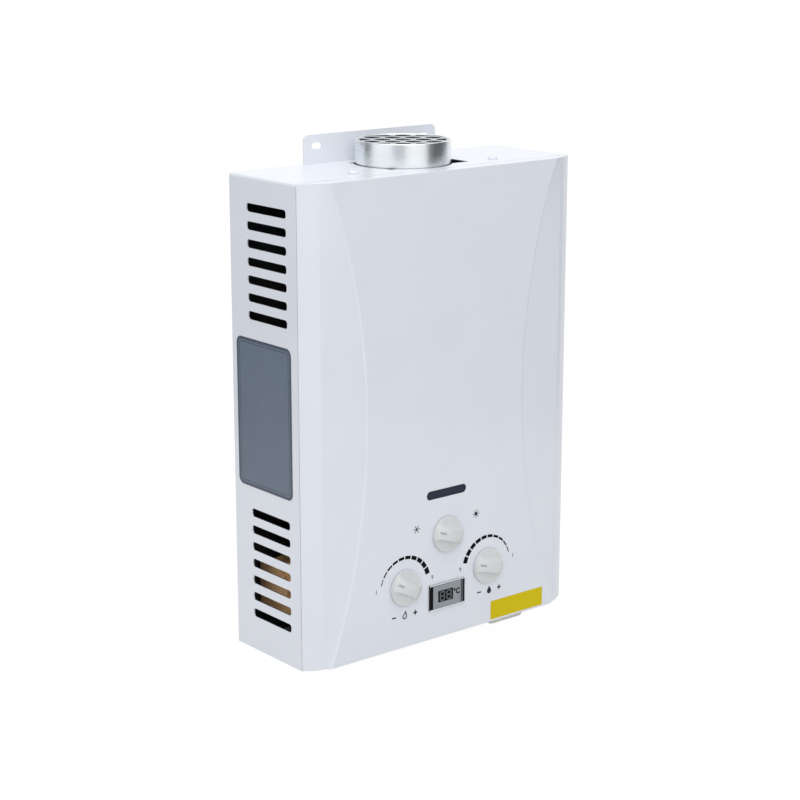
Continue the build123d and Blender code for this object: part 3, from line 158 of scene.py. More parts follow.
@dataclass(frozen=True)
class Finish:
    """A real surface: what it is made of, how it was made and what that gives the eye."""

    name: str
    colour: str
    shade: str
    pattern: Pattern
    roughness: float
    grain_mm: float
    bump_mm: float
    patch_mm: float = 40.0
    metallic: float = 0.0
    coat: float = 0.0
    specular: float = 0.5
    patch_detail: float = 4.0
    patch_roughness: float = 0.55
    patch_range: tuple[float, float] = (0.35, 0.7)
    shade_share: float = 0.6
    cast_detail: float = 6.0
    grain_detail: float = 2.0
    grain_roughness: float = 0.5
    grain_range: tuple[float, float] = (0.2, 0.8)
    roughness_spread: float = 0.06
    least_roughness: float = 0.02
    coat_roughness: float = 0.12

    # Rolled metal has long marks along X, and turned metal has rings about Z
    stretches: ClassVar[dict[Pattern, tuple[float, float, float]]] = {
        Pattern.ROLLED: (0.04, 1.0, 1.0),
        Pattern.TURNED: (0.05, 0.05, 1.0),
    }

    def build(self) -> Material:
        """Make the material, or return it if it was made before.

        Returns:
            The material with colour patches, uneven gloss and a fine relief.
        """
        found = bpy.data.materials.get(self.name)
        if found:
            return found
        material = bpy.data.materials.new(self.name)
        material.use_nodes = True
        tree = material.node_tree
        tree.nodes.clear()
        stretch = self.stretches.get(self.pattern, (1.0, 1.0, 1.0))
        place = add_node(tree, "ShaderNodeTexCoord").outputs["Object"]
        place = add_node(tree, "ShaderNodeMapping", {"Vector": place, "Scale": stretch}).outputs[0]
        grain = self.grain(tree, place)
        gloss = add_node(tree, "ShaderNodeMapRange", {
            "Value": grain,
            "From Min": self.grain_range[0],
            "From Max": self.grain_range[1],
            "To Min": max(self.least_roughness, self.roughness - self.roughness_spread),
            "To Max": self.roughness + self.roughness_spread,
        })
        relief = add_node(
            tree, "ShaderNodeBump", {"Height": grain, "Distance": self.bump_mm * MM, "Strength": 1.0}
        )
        surface = add_node(tree, "ShaderNodeBsdfPrincipled", {
            "Base Color": self.patches(tree, place),
            "Roughness": gloss.outputs[0],
            "Normal": relief.outputs[0],
            "Metallic": self.metallic,
            "Coat Weight": self.coat,
            "Coat Roughness": self.coat_roughness,
            "Specular IOR Level": self.specular,
        })
        add_node(tree, "ShaderNodeOutputMaterial", {"Surface": surface.outputs[0]})
        return material

    def patches(self, tree: NodeTree, place: NodeSocket) -> NodeSocket:
        """Mix the colour and its shade in soft patches.

        Args:
            tree: Node tree that takes the nodes.
            place: Object coordinates of the piece, stretched.

        Returns:
            Socket with the colour.
        """
        patch = add_node(tree, "ShaderNodeTexNoise", {
            "Vector": place,
            "Scale": 1 / (self.patch_mm * MM),
            "Detail": self.patch_detail,
            "Roughness": self.patch_roughness,
        })
        spread = add_node(tree, "ShaderNodeMapRange", {
            "Value": patch.outputs["Fac"],
            "From Min": self.patch_range[0],
            "From Max": self.patch_range[1],
            "To Max": self.shade_share,
        })
        # Sockets 6 and 7 and output 2 are the ones for colours
        inputs = {"Factor": spread.outputs[0], 6: linear(self.colour), 7: linear(self.shade)}
        return add_node(tree, "ShaderNodeMix", inputs, data_type="RGBA").outputs[2]

    def grain(self, tree: NodeTree, place: NodeSocket) -> NodeSocket:
        """Draw the fine pattern of the surface: cells for zinc spangle, noise for the rest.

        Args:
            tree: Node tree that takes the nodes.
            place: Object coordinates of the piece, stretched.

        Returns:
            Socket with the pattern, about 0 to 1.
        """
        inputs = {"Vector": place, "Scale": 1 / (self.grain_mm * MM)}
        if self.pattern is Pattern.SPANGLED:
            cells = add_node(tree, "ShaderNodeTexVoronoi", inputs)
            return add_node(tree, "ShaderNodeSeparateColor", {0: cells.outputs["Color"]}).outputs[0]
        inputs["Detail"] = self.cast_detail if self.pattern is Pattern.CAST else self.grain_detail
        inputs["Roughness"] = self.grain_roughness
        return add_node(tree, "ShaderNodeTexNoise", inputs).outputs["Fac"]


# Powder-coated steel sheet: a cool white with the faint orange peel of a sprayed coat
ENAMEL = Finish(
    "powder_coated_steel", "#E6E9EF", "#E2E5EC", Pattern.SPRAYED,
    roughness=0.34, grain_mm=2.2, bump_mm=0.012, coat=0.25,
)
# Inside faces of the case: dull blue-black with a sprayed grain, painted shade of the closed case
INSIDE_SHADE = Finish(
    "painted_shade_inside", "#323F54", "#273246", Pattern.SPRAYED,
    roughness=0.75, grain_mm=3.0, bump_mm=0.02,
)
# Hot-dip zinc on steel: dull grey with the facets of its spangle
ZINC = Finish(
    "galvanised_steel", "#9DA2A6", "#868B90", Pattern.SPANGLED,
    roughness=0.48, grain_mm=7.0, bump_mm=0.01, metallic=0.9,
)
# Zinc inside the case: the same spangle, darkened as painted shade of the closed case
ZINC_PAINTED_SHADE = Finish(
    "galvanised_steel_painted_shade", "#4C5054", "#3B3F43", Pattern.SPANGLED,
    roughness=0.6, grain_mm=7.0, bump_mm=0.01, metallic=0.8,
)
# Spun aluminium of the flue collar: bright, with faint rings round it
SPUN = Finish(
    "spun_aluminium", "#F1F5F6", "#E8EDEF", Pattern.TURNED,
    roughness=0.3, grain_mm=1.2, bump_mm=0.003, metallic=1.0, patch_mm=9.0,
)
# Pressed aluminium of the grille: a little greyer and duller
PRESSED = Finish(
    "pressed_aluminium", "#C6CBD0", "#B0B6BC", Pattern.CAST,
    roughness=0.34, grain_mm=1.5, bump_mm=0.015, metallic=1.0,
)
# Rolled sheet of the hood: blue-grey and dark, painted shade of the closed hood seen through the grille's
# cells
HOOD = Finish(
    "rolled_steel_painted_shade", "#3A4653", "#2E3945", Pattern.ROLLED,
    roughness=0.6, grain_mm=1.2, bump_mm=0.01, metallic=0.6,
)
# Drawn copper: warm, slightly brown where it was heated
COPPER = Finish(
    "drawn_copper", "#B7714F", "#8A4A33", Pattern.ROLLED,
    roughness=0.32, grain_mm=1.0, bump_mm=0.01, metallic=1.0, patch_mm=25.0,
)
# Pressed stainless steel of the burner, straw-coloured by the flame
BURNER = Finish(
    "heated_stainless_steel", "#8E8A82", "#6E6456", Pattern.CAST,
    roughness=0.42, grain_mm=1.2, bump_mm=0.01, metallic=1.0,
)
# As-cast aluminium: grey and grainy
CASTING = Finish(
    "cast_aluminium", "#A4A7AA", "#8F9295", Pattern.CAST,
    roughness=0.5, grain_mm=1.4, bump_mm=0.04, metallic=0.9,
)
# Yellow-passivated casting: pale gold with a reddish cast, dull all over
CHROMATE = Finish(
    "yellow_passivated_casting", "#F0C38F", "#DDAA74", Pattern.CAST,
    roughness=0.5, grain_mm=1.6, bump_mm=0.03, patch_mm=14.0,
)
# Machined brass: warm yellow with turning marks
BRASS = Finish(
    "machined_brass", "#C0A35C", "#A88A48", Pattern.TURNED,
    roughness=0.3, grain_mm=0.8, bump_mm=0.008, metallic=1.0,
)
# Turned steel of spindles, rod and spring: grey and bright, with fine rings
STEEL = Finish(
    "turned_steel", "#A5A8AB", "#8D9093", Pattern.TURNED,
    roughness=0.3, grain_mm=0.7, bump_mm=0.006, metallic=1.0,
)
# Moulded ABS of the knobs: neutral white, softly glossy with a fine grain
WHITE_ABS = Finish(
    "moulded_white_abs", "#DCDCDC", "#D6D6D7", Pattern.MOULDED,
    roughness=0.36, grain_mm=0.9, bump_mm=0.012, coat=0.15,
)
# Moulded polypropylene of the battery box and lid: warmer and duller than the knobs
IVORY_PP = Finish(
    "moulded_ivory_polypropylene", "#E0DAD2", "#D8D1C8", Pattern.MOULDED,
    roughness=0.48, grain_mm=1.1, bump_mm=0.015,
)
# Chrome-plated plastic of the display's frame: mirror-bright lines along its edges
CHROMED = Finish(
    "chrome_plated_plastic", "#D5D8DC", "#C4C8CD", Pattern.MOULDED,
    roughness=0.14, grain_mm=4.0, bump_mm=0.004, metallic=1.0,
)
# Left and right flanks of the plated frame: deep and glossy black, a painted dark reflection
FLANK_PAINTED_REFLECTION = Finish(
    "flank_painted_reflection", "#0E0F11", "#17181B", Pattern.MOULDED,
    roughness=0.3, grain_mm=1.0, bump_mm=0.01,
)
# Moulded nylon of boxes and switches: dark and matt
DARK = Finish(
    "moulded_dark_nylon", "#1C1D20", "#27292C", Pattern.MOULDED,
    roughness=0.55, grain_mm=1.1, bump_mm=0.02,
)
# Polariser film of the read-out: flat mid grey
READOUT = Finish(
    "grey_polariser_film", "#969C9F", "#8D9397", Pattern.MOULDED,
    roughness=0.34, grain_mm=0.6, bump_mm=0.004, specular=0.3,
)
# Dark grey print beside the film of the read-out
DARK_GREY = Finish(
    "dark_grey_print", "#4A4E52", "#42464A", Pattern.SPRAYED,
    roughness=0.4, grain_mm=0.6, bump_mm=0.003, specular=0.3,
)
# Unlit segments behind the dark part of the read-out: just paler than it
SEGMENT = Finish(
    "unlit_segment", "#666D71", "#5E6569", Pattern.MOULDED,
    roughness=0.4, grain_mm=0.6, bump_mm=0.003,
)
# Screen-printed ink: black, matt and very slightly uneven
INK = Finish(
    "screen_printed_ink", "#060708", "#0D0E11", Pattern.SPRAYED,
    roughness=0.7, grain_mm=0.8, bump_mm=0.004, patch_mm=6.0, specular=0.1,
)
# Thin grey-blue ink of the small marks
FINE_INK = Finish(
    "fine_printed_ink", "#2A2F3A", "#363C47", Pattern.SPRAYED,
    roughness=0.7, grain_mm=0.6, bump_mm=0.004, patch_mm=5.0, specular=0.1,
)
# Pad-printed mark of the knobs: pale grey
PALE_INK = Finish(
    "pad_printed_grey", "#B6B8BC", "#ADB0B4", Pattern.SPRAYED,
    roughness=0.6, grain_mm=0.6, bump_mm=0.004, patch_mm=5.0,
)
# Polyester film of the side plate: slate grey with a soft sheen
FILM = Finish(
    "grey_polyester_film", "#6A7685", "#626E7D", Pattern.ROLLED,
    roughness=0.42, grain_mm=1.6, bump_mm=0.004, patch_mm=30.0,
)
# Printed border of the side plate: a darker slate
FILM_EDGE = Finish(
    "printed_film_border", "#4E5766", "#464F5D", Pattern.SPRAYED,
    roughness=0.45, grain_mm=1.2, bump_mm=0.003,
)
# Vinyl film of the front strip: strong yellow, hardly glossy
VINYL = Finish(
    "yellow_vinyl_film", "#DCC70A", "#D0B906", Pattern.ROLLED,
    roughness=0.45, grain_mm=1.6, bump_mm=0.004, patch_mm=18.0, specular=0.15,
)
# Heat-proof glass of the flame window: blue-black, painted shade of the dark chamber behind it, which the
# glass does not show
WINDOW_SHADE = Finish(
    "window_glass_painted_shade", "#2D3241", "#272C3A", Pattern.MOULDED,
    roughness=0.12, grain_mm=8.0, bump_mm=0.002, specular=0.12,
)
# Glazed steatite of the electrodes: cream and glossy
GLAZED = Finish(
    "glazed_steatite", "#E4DFD2", "#D8D2C3", Pattern.MOULDED,
    roughness=0.2, grain_mm=2.0, bump_mm=0.01, coat=0.5,
)
# Moulded rubber of the diaphragm: black and dull
RUBBER = Finish(
    "moulded_rubber", "#151515", "#1E1E1E", Pattern.MOULDED,
    roughness=0.7, grain_mm=1.0, bump_mm=0.02,
)
# Shrink sleeve of the cells: dark and glossy
SLEEVE = Finish(
    "pvc_shrink_sleeve", "#23262C", "#2D3138", Pattern.MOULDED,
    roughness=0.25, grain_mm=3.0, bump_mm=0.006, coat=0.3,
)
# Dark card beside the object: a soft dark band in bright metal
CARD = Finish(
    "dark_studio_card", "#5E6061", "#585A5B", Pattern.SPRAYED,
    roughness=0.9, grain_mm=30.0, bump_mm=0.01, specular=0.0,
)
# Pale card in front: a slight dip in bright metal
PALE_CARD = Finish(
    "pale_studio_card", "#D0D2D3", "#CACCCD", Pattern.SPRAYED,
    roughness=0.9, grain_mm=30.0, bump_mm=0.01, specular=0.0,
)


def dress(names: Iterable[str], finish: Finish) -> None:
    """Give the solids of some nodes a finish.

    Args:
        names: Nodes to dress.
        finish: Finish that they take.
    """
    for name in names:
        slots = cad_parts[name].data.materials
        slots.clear()
        slots.append(finish.build())
        log.info("dressed %s in %s", name, finish.name)


def piece_from(mesh: BMesh, name: str, finishes: list[Finish], body: Optional[Body] = None) -> Object:
    """Turn a bmesh into an object in the scene.

    Args:
        mesh: Finished geometry, in metres, in place. It is freed.
        name: Name of the object.
        finishes: Finishes for its material numbers.
        body: Body that carries it, if it rides on one.

    Returns:
        The new object.
    """
    data = bpy.data.meshes.new(name)
    mesh.to_mesh(data)
    mesh.free()
    for finish in finishes:
        data.materials.append(finish.build())
    made = bpy.data.objects.new(name, data)
    bpy.context.scene.collection.objects.link(made)
    if body:
        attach(made, body.value)
    log.info("built %s", name)
    return made


def copy_of(node: str) -> BMesh:
    """Copy a node's solid and merge its points.

    Args:
        node: Name of the node.

    Returns:
        The merged copy.
    """
    mesh = bmesh.new()
    mesh.from_mesh(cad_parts[node].data)
    bmesh.ops.remove_doubles(mesh, verts=mesh.verts, dist=MERGE_M)
    return mesh


def smooth_by_angle(mesh: BMesh, limit_deg: float) -> None:
    """Shade a mesh smooth, except across edges sharper than a limit.

    Args:
        mesh: Mesh to change.
        limit_deg: Angle in degrees above which an edge stays sharp.
    """
    for face in mesh.faces:
        face.smooth = True
    limit = math.radians(limit_deg)
    for edge in mesh.edges:
        edge.smooth = len(edge.link_faces) == 2 and edge.calc_face_angle(0.0) < limit


def thicken(mesh: BMesh, rise: Vector) -> None:
    """Give flat faces the thickness of their ink or film.

    Args:
        mesh: Mesh of flat faces.
        rise: Way and distance from the back to the front of the film.
    """
    raised = bmesh.ops.extrude_face_region(mesh, geom=mesh.faces[:])["geom"]
    points = [item for item in raised if isinstance(item, BMVert)]
    bmesh.ops.translate(mesh, vec=rise, verts=points)
    bmesh.ops.recalc_face_normals(mesh, faces=mesh.faces)


def put(mesh: BMesh, at: Vector, facing: Matrix) -> None:
    """Move what was drawn flat, in millimetres, to its place in the frame.

    Args:
        mesh: Mesh to move.
        at: Where the drawing's middle goes.
        facing: Turn from flat on the table to its place.
    """
    place = Matrix.Translation(at) @ facing.to_4x4() @ Matrix.Scale(MM, 4)
    bmesh.ops.transform(mesh, matrix=place, verts=mesh.verts)


def add_panel(mesh: BMesh, width: float, height: float) -> list[BMVert]:
    """Add a flat rectangle about the middle.

    Args:
        mesh: Mesh that takes it.
        width: Length along X.
        height: Length along Y.

    Returns:
        Its corners.
    """
    corners = bmesh.ops.create_grid(mesh, x_segments=1, y_segments=1, size=0.5)["verts"]
    bmesh.ops.scale(mesh, vec=Vector((width, height, 1)), verts=corners)
    return corners


def print_text(
    name: str, text: str, size_mm: float, at: Vector, finish: Finish, weight_mm: float = 0.0
) -> Object:
    """Print a figure flat on the front.

    Args:
        name: Name of the piece.
        text: Figure to print.
        size_mm: Height of the type.
        at: Middle of the figure on the face that it is printed on.
        finish: Ink.
        weight_mm: How far the strokes are spread on each side.

    Returns:
        The printed piece.
    """
    curve_steps, merge_mm = 4, 1e-5
    curve = bpy.data.curves.new(name, "FONT")
    curve.body = text
    curve.align_x = "CENTER"
    curve.align_y = "CENTER"
    curve.size = size_mm
    curve.offset = weight_mm
    curve.extrude = PRINT_THICK / 2
    curve.resolution_u = curve_steps
    held = bpy.data.objects.new(name, curve)
    bpy.context.scene.collection.objects.link(held)
    bpy.context.view_layer.update()
    data = bpy.data.meshes.new_from_object(held.evaluated_get(bpy.context.evaluated_depsgraph_get()))
    bpy.data.objects.remove(held)
    bpy.data.curves.remove(curve)
    mesh = bmesh.new()
    mesh.from_mesh(data)
    bpy.data.meshes.remove(data)
    bmesh.ops.remove_doubles(mesh, verts=mesh.verts, dist=merge_mm)
    lift = spot(0, PRINT_GAP + PRINT_THICK / 2, 0) - spot(0, 0, 0)
    put(mesh, at + lift, FACING_FRONT)
    return piece_from(mesh, name, [finish], Body.CASE)


@dataclass
class RoundedCopy:
    """A solid's own shape with its sharp edges broken, as pressing, moulding or paint leaves them."""

    node: str
    body: Body
    finishes: list[Finish]
    edge_mm: float
    sharp_deg: float = 40.0
    segments: int = 2
    paint: Optional[Callable[[BMFace], int]] = None
    smooth_deg: float = 32.0
    flat_deg: float = 0.2

    def build(self) -> Object:
        """Copy the solid, round its edges and stand it in for the node.

        Returns:
            The piece that replaces the node.
        """
        mesh = copy_of(self.node)
        flat = math.radians(self.flat_deg)
        bmesh.ops.dissolve_limit(mesh, angle_limit=flat, verts=mesh.verts, edges=mesh.edges)
        limit = math.radians(self.sharp_deg)
        sharp = [e for e in mesh.edges if len(e.link_faces) == 2 and e.calc_face_angle(0.0) > limit]
        if self.edge_mm and sharp:
            bmesh.ops.bevel(
                mesh, geom=sharp, affect="EDGES", offset=self.edge_mm * MM, offset_type="OFFSET",
                segments=self.segments, profile=0.5, material=-1, clamp_overlap=True,
            )
        for face in mesh.faces:
            face.material_index = self.paint(face) if self.paint else 0
        smooth_by_angle(mesh, self.smooth_deg)
        made = piece_from(mesh, f"{self.node}_finished", self.finishes, self.body)
        made.modifiers.new("even_shading", "WEIGHTED_NORMAL").keep_sharp = True
        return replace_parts(made, self.node)


@dataclass
class Sheet:
    """Thin film cut to a rounded rectangle, with an optional printed border."""

    width: float
    height: float
    corner: float
    thickness: float
    border: float = 0.0
    corner_steps: int = 6
    # Widths of the dark border, of the bare line inside it and of the thin dark line inside that
    border_shares: tuple[float, float, float] = (1.0, 0.5, 0.35)

    def build(
        self, name: str, finishes: list[Finish], body: Body, at: Vector, facing: Matrix = FACING_FRONT
    ) -> Object:
        """Cut the film, print its border and stick it in place.

        Args:
            name: Name of the piece.
            finishes: Film, and the border's ink where there is one.
            body: Body that carries it.
            at: Middle of the film's back.
            facing: Turn from flat on the table to its place.

        Returns:
            The film.
        """
        mesh = bmesh.new()
        corners = add_panel(mesh, self.width, self.height)
        bmesh.ops.bevel(
            mesh, geom=corners, affect="VERTICES", offset=self.corner, offset_type="OFFSET",
            segments=self.corner_steps, profile=0.5, material=-1,
        )
        if self.border:
            self.print_border(mesh)
        thicken(mesh, Vector((0, 0, self.thickness)))
        put(mesh, at, facing)
        return piece_from(mesh, name, finishes, body)

    def print_border(self, mesh: BMesh) -> None:
        """Give the rings along the film's edge their ink.

        Args:
            mesh: The flat film.
        """
        inner = mesh.faces[:]
        rings = [
            bmesh.ops.inset_region(
                mesh, faces=inner, thickness=self.border * share, use_boundary=True, use_even_offset=True
            )["faces"]
            for share in self.border_shares
        ]
        for face in rings[0] + rings[2]:
            face.material_index = 1


@dataclass
class Case:
    """Sheet-steel case: wrap, cover, back, bottom, bracket and screws."""

    half_width: float = 145.0
    height: float = 400.0
    plate_depths: tuple[float, float] = (6.2, 81.0)
    plate_heights: tuple[float, float] = (142.5, 267.8)
    plate_corner: float = 6.0
    plate_border: float = 2.4
    plate_thickness: float = 0.12
    strip_x: tuple[float, float] = (51.0, 112.4)
    strip_heights: tuple[float, float] = (2.0, 18.9)
    strip_corner: float = 0.8
    strip_thickness: float = 0.1
    # Least Y in the normal of a face that looks at the wall, and of one that is an edge of the wrap
    rear_share: float = 0.3
    edge_share: float = 0.5

    def inside(self, face: BMFace) -> int:
        """Choose the material of a face of the wrap.

        Args:
            face: Face to paint.

        Returns:
            1 where the sheet looks into the case and takes painted shade, or else 0.
        """
        middle = face.calc_center_median()
        inwards = Vector((-middle.x, 0, spot(0, 0, self.height / 2).z - middle.z))
        return int(face.normal.dot(inwards) > 0 and abs(face.normal.y) < self.edge_share)

    def rear(self, face: BMFace) -> int:
        """Choose the material of a face of the cover or the back.

        Args:
            face: Face to paint.

        Returns:
            1 where the sheet looks at the wall, or else 0.
        """
        return int(face.normal.y > self.rear_share)

    def build(self) -> None:
        """Round the edges of the sheet pieces and stick the films on."""
        body = Body.CASE
        copies = (
            # The inside of the wrap and of the cover takes painted shade of the closed case
            RoundedCopy("case_wrap", body, [ENAMEL, INSIDE_SHADE], edge_mm=0.35, paint=self.inside),
            # The arched creases of the cover are shallow, and stay crisp
            RoundedCopy(
                "front_cover", body, [ENAMEL, INSIDE_SHADE], edge_mm=0.5,
                sharp_deg=38.0, segments=3, paint=self.rear, smooth_deg=17.0,
            ),
            RoundedCopy("wall_bracket", body, [ENAMEL], edge_mm=0.3, sharp_deg=32.0),
            RoundedCopy("bottom_panel", body, [ENAMEL], edge_mm=0.2, sharp_deg=32.0),
            RoundedCopy("case_screws", body, [ENAMEL], edge_mm=0.2, sharp_deg=32.0),
            # The back's front, which looks into the case, takes painted shade; the side at the wall is bare
            # zinc
            RoundedCopy("back_panel", body, [ZINC_PAINTED_SHADE, ZINC], edge_mm=0.0, paint=self.rear),
        )
        for copy in copies:
            copy.build()
        self.build_plate()
        self.build_strip()

    def build_plate(self) -> None:
        """Stick the bare grey film plate with its dark border on the left side."""
        rear, front = self.plate_depths
        low, high = self.plate_heights
        film = Sheet(front - rear, high - low, self.plate_corner, self.plate_thickness, self.plate_border)
        at = spot(-self.half_width - PRINT_GAP, (rear + front) / 2, (low + high) / 2)
        film.build("side_plate", [FILM, FILM_EDGE], Body.CASE, at, FACING_LEFT)

    def build_strip(self) -> None:
        """Stick the bare yellow film strip on the lower edge of the front."""
        left, right = self.strip_x
        low, high = self.strip_heights
        film = Sheet(right - left, high - low, self.strip_corner, self.strip_thickness)
        at = spot((left + right) / 2, FIELD_DEPTH + PRINT_GAP, (low + high) / 2)
        film.build("front_strip", [VINYL], Body.CASE, at)


@dataclass
class Flue:
    """Collar and grille on top, hood and straps below."""

    def build(self) -> None:
        """Round the collar and grille, and dress the hood and its straps."""
        RoundedCopy("flue_collar", Body.CASE, [SPUN], edge_mm=0.15).build()
        RoundedCopy("flue_grille", Body.CASE, [PRESSED], edge_mm=0.2).build()
        # The hood's dark colour is painted shade, seen through the grille
        dress(["draft_hood"], HOOD)
        # The hood's straps take the painted shade of the closed case
        dress(["hood_brackets"], ZINC_PAINTED_SHADE)


@dataclass
class Dial:
    """A knob's printed scale: an arc of dashes that grow, with a figure at each end."""

    name: str
    x: float
    height: float
    thick_first: bool
    figures: tuple[str, str]
    radius: float = 26.0
    start_deg: float = 165.0
    end_deg: float = 15.0
    dashes: int = 10
    dash_steps: int = 5
    gap_deg: float = 2.6
    thin: float = 0.9
    thick: float = 4.5
    figure_size: float = 5.2
    figure_reach: float = 30.5
    figure_deg: float = 4.0

    def place(self, reach: float, turn_deg: float, depth: float) -> Vector:
        """Find a point round the knob's middle.

        Args:
            reach: Distance from the middle in millimetres.
            turn_deg: Angle in degrees, anticlockwise from the right.
            depth: Depth of the point in millimetres.

        Returns:
            The point in metres.
        """
        turn = math.radians(turn_deg)
        return spot(self.x + reach * math.cos(turn), depth, self.height + reach * math.sin(turn))

    def build(self) -> None:
        """Print the arc and its figures on the cover."""
        mesh = bmesh.new()
        step = (self.start_deg - self.end_deg + self.gap_deg) / self.dashes
        for index in range(self.dashes):
            share = index / (self.dashes - 1)
            grow = 1 - share if self.thick_first else share
            width = self.thin + (self.thick - self.thin) * grow
            self.add_dash(mesh, self.start_deg - index * step, step - self.gap_deg, width)
        thicken(mesh, Vector((0, -PRINT_THICK * MM, 0)))
        piece_from(mesh, f"{self.name}_scale", [INK], Body.CASE)
        for figure, turn_deg in zip(self.figures, (180 - self.figure_deg, self.figure_deg)):
            at = self.place(self.figure_reach, turn_deg, FIELD_DEPTH)
            print_text(f"{self.name}_figure_{figure}", figure, self.figure_size, at, FINE_INK)

    def add_dash(self, mesh: BMesh, start: float, length: float, width: float) -> None:
        """Spin one flat dash about the knob's middle.

        Args:
            mesh: Mesh that takes the dash.
            start: Angle of its first end, in degrees from the right.
            length: Angle that it spans, in degrees.
            width: Radial width in millimetres.
        """
        depth = FIELD_DEPTH + PRINT_GAP
        reaches = (self.radius - width / 2, self.radius + width / 2)
        ends = [mesh.verts.new(self.place(reach, start, depth)) for reach in reaches]
        bmesh.ops.spin(
            mesh, geom=[*ends, mesh.edges.new(ends)], steps=self.dash_steps, use_merge=False,
            cent=spot(self.x, FIELD_DEPTH, self.height), axis=Vector((0, 1, 0)), angle=math.radians(length),
        )


@dataclass
class PrintedSign:
    """A plain sign, printed on the front in the place of a word."""

    sign: Sign
    x: float
    height: float
    size: float

    # Shares of the sign's size
    drop_radius_share: float = 0.36
    drop_point_share: float = 0.34
    flame_lean_share: float = 0.22
    outline_share: float = 0.14
    bar_reach_share: float = 1.7
    bar_length_share: float = 0.64
    bar_width_share: float = 0.17
    sun_radius_share: float = 0.24
    sun_ray_shares: tuple[float, float] = (0.33, 0.5)
    frost_ray_shares: tuple[float, float] = (0.0, 0.5)
    ray_width_share: float = 0.09

    # Share of the drop's width that is lost at its point
    pinch_share: float = 0.8
    drop_steps: int = 24
    sun_steps: int = 20
    sun_rays: int = 8
    frost_rays: int = 6

    def build(self) -> None:
        """Draw the sign flat, thicken it and put it on the cover."""
        mesh = bmesh.new()
        if self.sign is Sign.FLAME:
            self.draw_drop(mesh, self.flame_lean_share)
            self.hollow(mesh)
            self.draw_minus_plus(mesh)
        elif self.sign is Sign.DROP:
            self.draw_drop(mesh, 0.0)
            self.draw_minus_plus(mesh)
        elif self.sign is Sign.SUN:
            radius = self.size * self.sun_radius_share
            bmesh.ops.create_circle(mesh, cap_ends=True, segments=self.sun_steps, radius=radius)
            self.draw_rays(mesh, self.sun_rays, self.sun_ray_shares)
        else:
            self.draw_rays(mesh, self.frost_rays, self.frost_ray_shares)
        thicken(mesh, Vector((0, 0, PRINT_THICK)))
        put(mesh, spot(self.x, FIELD_DEPTH + PRINT_GAP, self.height), FACING_FRONT)
        piece_from(mesh, f"sign_{self.sign.value}", [FINE_INK], Body.CASE)

    def draw_drop(self, mesh: BMesh, lean_share: float) -> None:
        """Draw a disc pulled up to a point.

        Args:
            mesh: Mesh that takes it.
            lean_share: Share of the sign's size by which the point leans to the right.
        """
        radius = self.size * self.drop_radius_share
        disc = bmesh.ops.create_circle(mesh, cap_ends=True, segments=self.drop_steps, radius=radius)
        for vertex in disc["verts"]:
            rise = max(0.0, vertex.co.y / radius) ** 2
            vertex.co.x = vertex.co.x * (1 - self.pinch_share * rise) + lean_share * self.size * rise
            vertex.co.y += self.size * self.drop_point_share * rise - self.size / 2 + radius

    def hollow(self, mesh: BMesh) -> None:
        """Leave only the outline of what is drawn.

        Args:
            mesh: Mesh that holds the drawing.
        """
        inner = mesh.faces[:]
        line = self.size * self.outline_share
        bmesh.ops.inset_region(mesh, faces=inner, thickness=line, use_boundary=True, use_even_offset=False)
        bmesh.ops.delete(mesh, geom=inner, context="FACES")

    def draw_minus_plus(self, mesh: BMesh) -> None:
        """Draw a minus to the left of the sign and a plus to the right.

        Args:
            mesh: Mesh that takes them.
        """
        reach = self.size * self.bar_reach_share
        long, thin = self.size * self.bar_length_share, self.size * self.bar_width_share
        for x, width, height in ((-reach, long, thin), (reach, long, thin), (reach, thin, long)):
            bar = add_panel(mesh, width, height)
            bmesh.ops.translate(mesh, vec=Vector((x, 0, 0)), verts=bar)

    def draw_rays(self, mesh: BMesh, count: int, shares: tuple[float, float]) -> None:
        """Draw bars that point away from the middle.

        Args:
            mesh: Mesh that takes them.
            count: How many there are.
            shares: Where each starts and ends, as shares of the sign's size.
        """
        near, far = (self.size * share for share in shares)
        for index in range(count):
            bar = add_panel(mesh, far - near, self.size * self.ray_width_share)
            bmesh.ops.translate(mesh, vec=Vector(((far + near) / 2, 0, 0)), verts=bar)
            turn = Matrix.Rotation(math.tau * index / count, 4, "Z")
            bmesh.ops.transform(mesh, matrix=turn, verts=bar)


@dataclass
class Knob:
    """A turning knob and the mark in the sloping pocket of its grip."""

    name: str
    body: Body
    x: float
    height: float
    pointer_deg: float
    back: float = 102.6
    radius: float = 15.4
    rise: float = 8.6
    rim_rise: float = 3.6
    edge_mm: float = 0.25
    mark_inset: float = 5.6
    mark_drop: float = 0.65
    mark_size: tuple[float, float] = (5.2, 1.5)
    mark_corner: float = 0.7
    mark_thickness: float = 0.1

    def build(self) -> None:
        """Round the knob's edges and dress its spindle."""
        RoundedCopy(f"{self.name}_knob", self.body, [WHITE_ABS], self.edge_mm).build()
        dress([f"{self.name}_spindle"], STEEL)

    def build_pointer(self) -> None:
        """Print the mark, square to the dome that the grip's top follows."""
        turn = math.radians(self.pointer_deg)
        crown = self.rise - self.rim_rise
        dome_radius = (self.radius**2 + crown**2) / (2 * crown)
        reach = self.radius - self.mark_inset
        tilt = math.asin(reach / dome_radius)
        outwards = Vector((math.cos(turn), 0, math.sin(turn)))
        front = Vector((0, -1, 0))
        along = outwards * math.cos(tilt) - front * math.sin(tilt)
        normal = outwards * math.sin(tilt) + front * math.cos(tilt)
        facing = Matrix((along, normal.cross(along), normal)).transposed()
        rise = self.rise - dome_radius * (1 - math.cos(tilt)) - self.mark_drop
        at = spot(self.x, self.back, self.height) + (outwards * reach + front * rise) * MM
        film = Sheet(*self.mark_size, self.mark_corner, self.mark_thickness)
        film.build(f"{self.name}_pointer", [PALE_INK], self.body, at, facing)


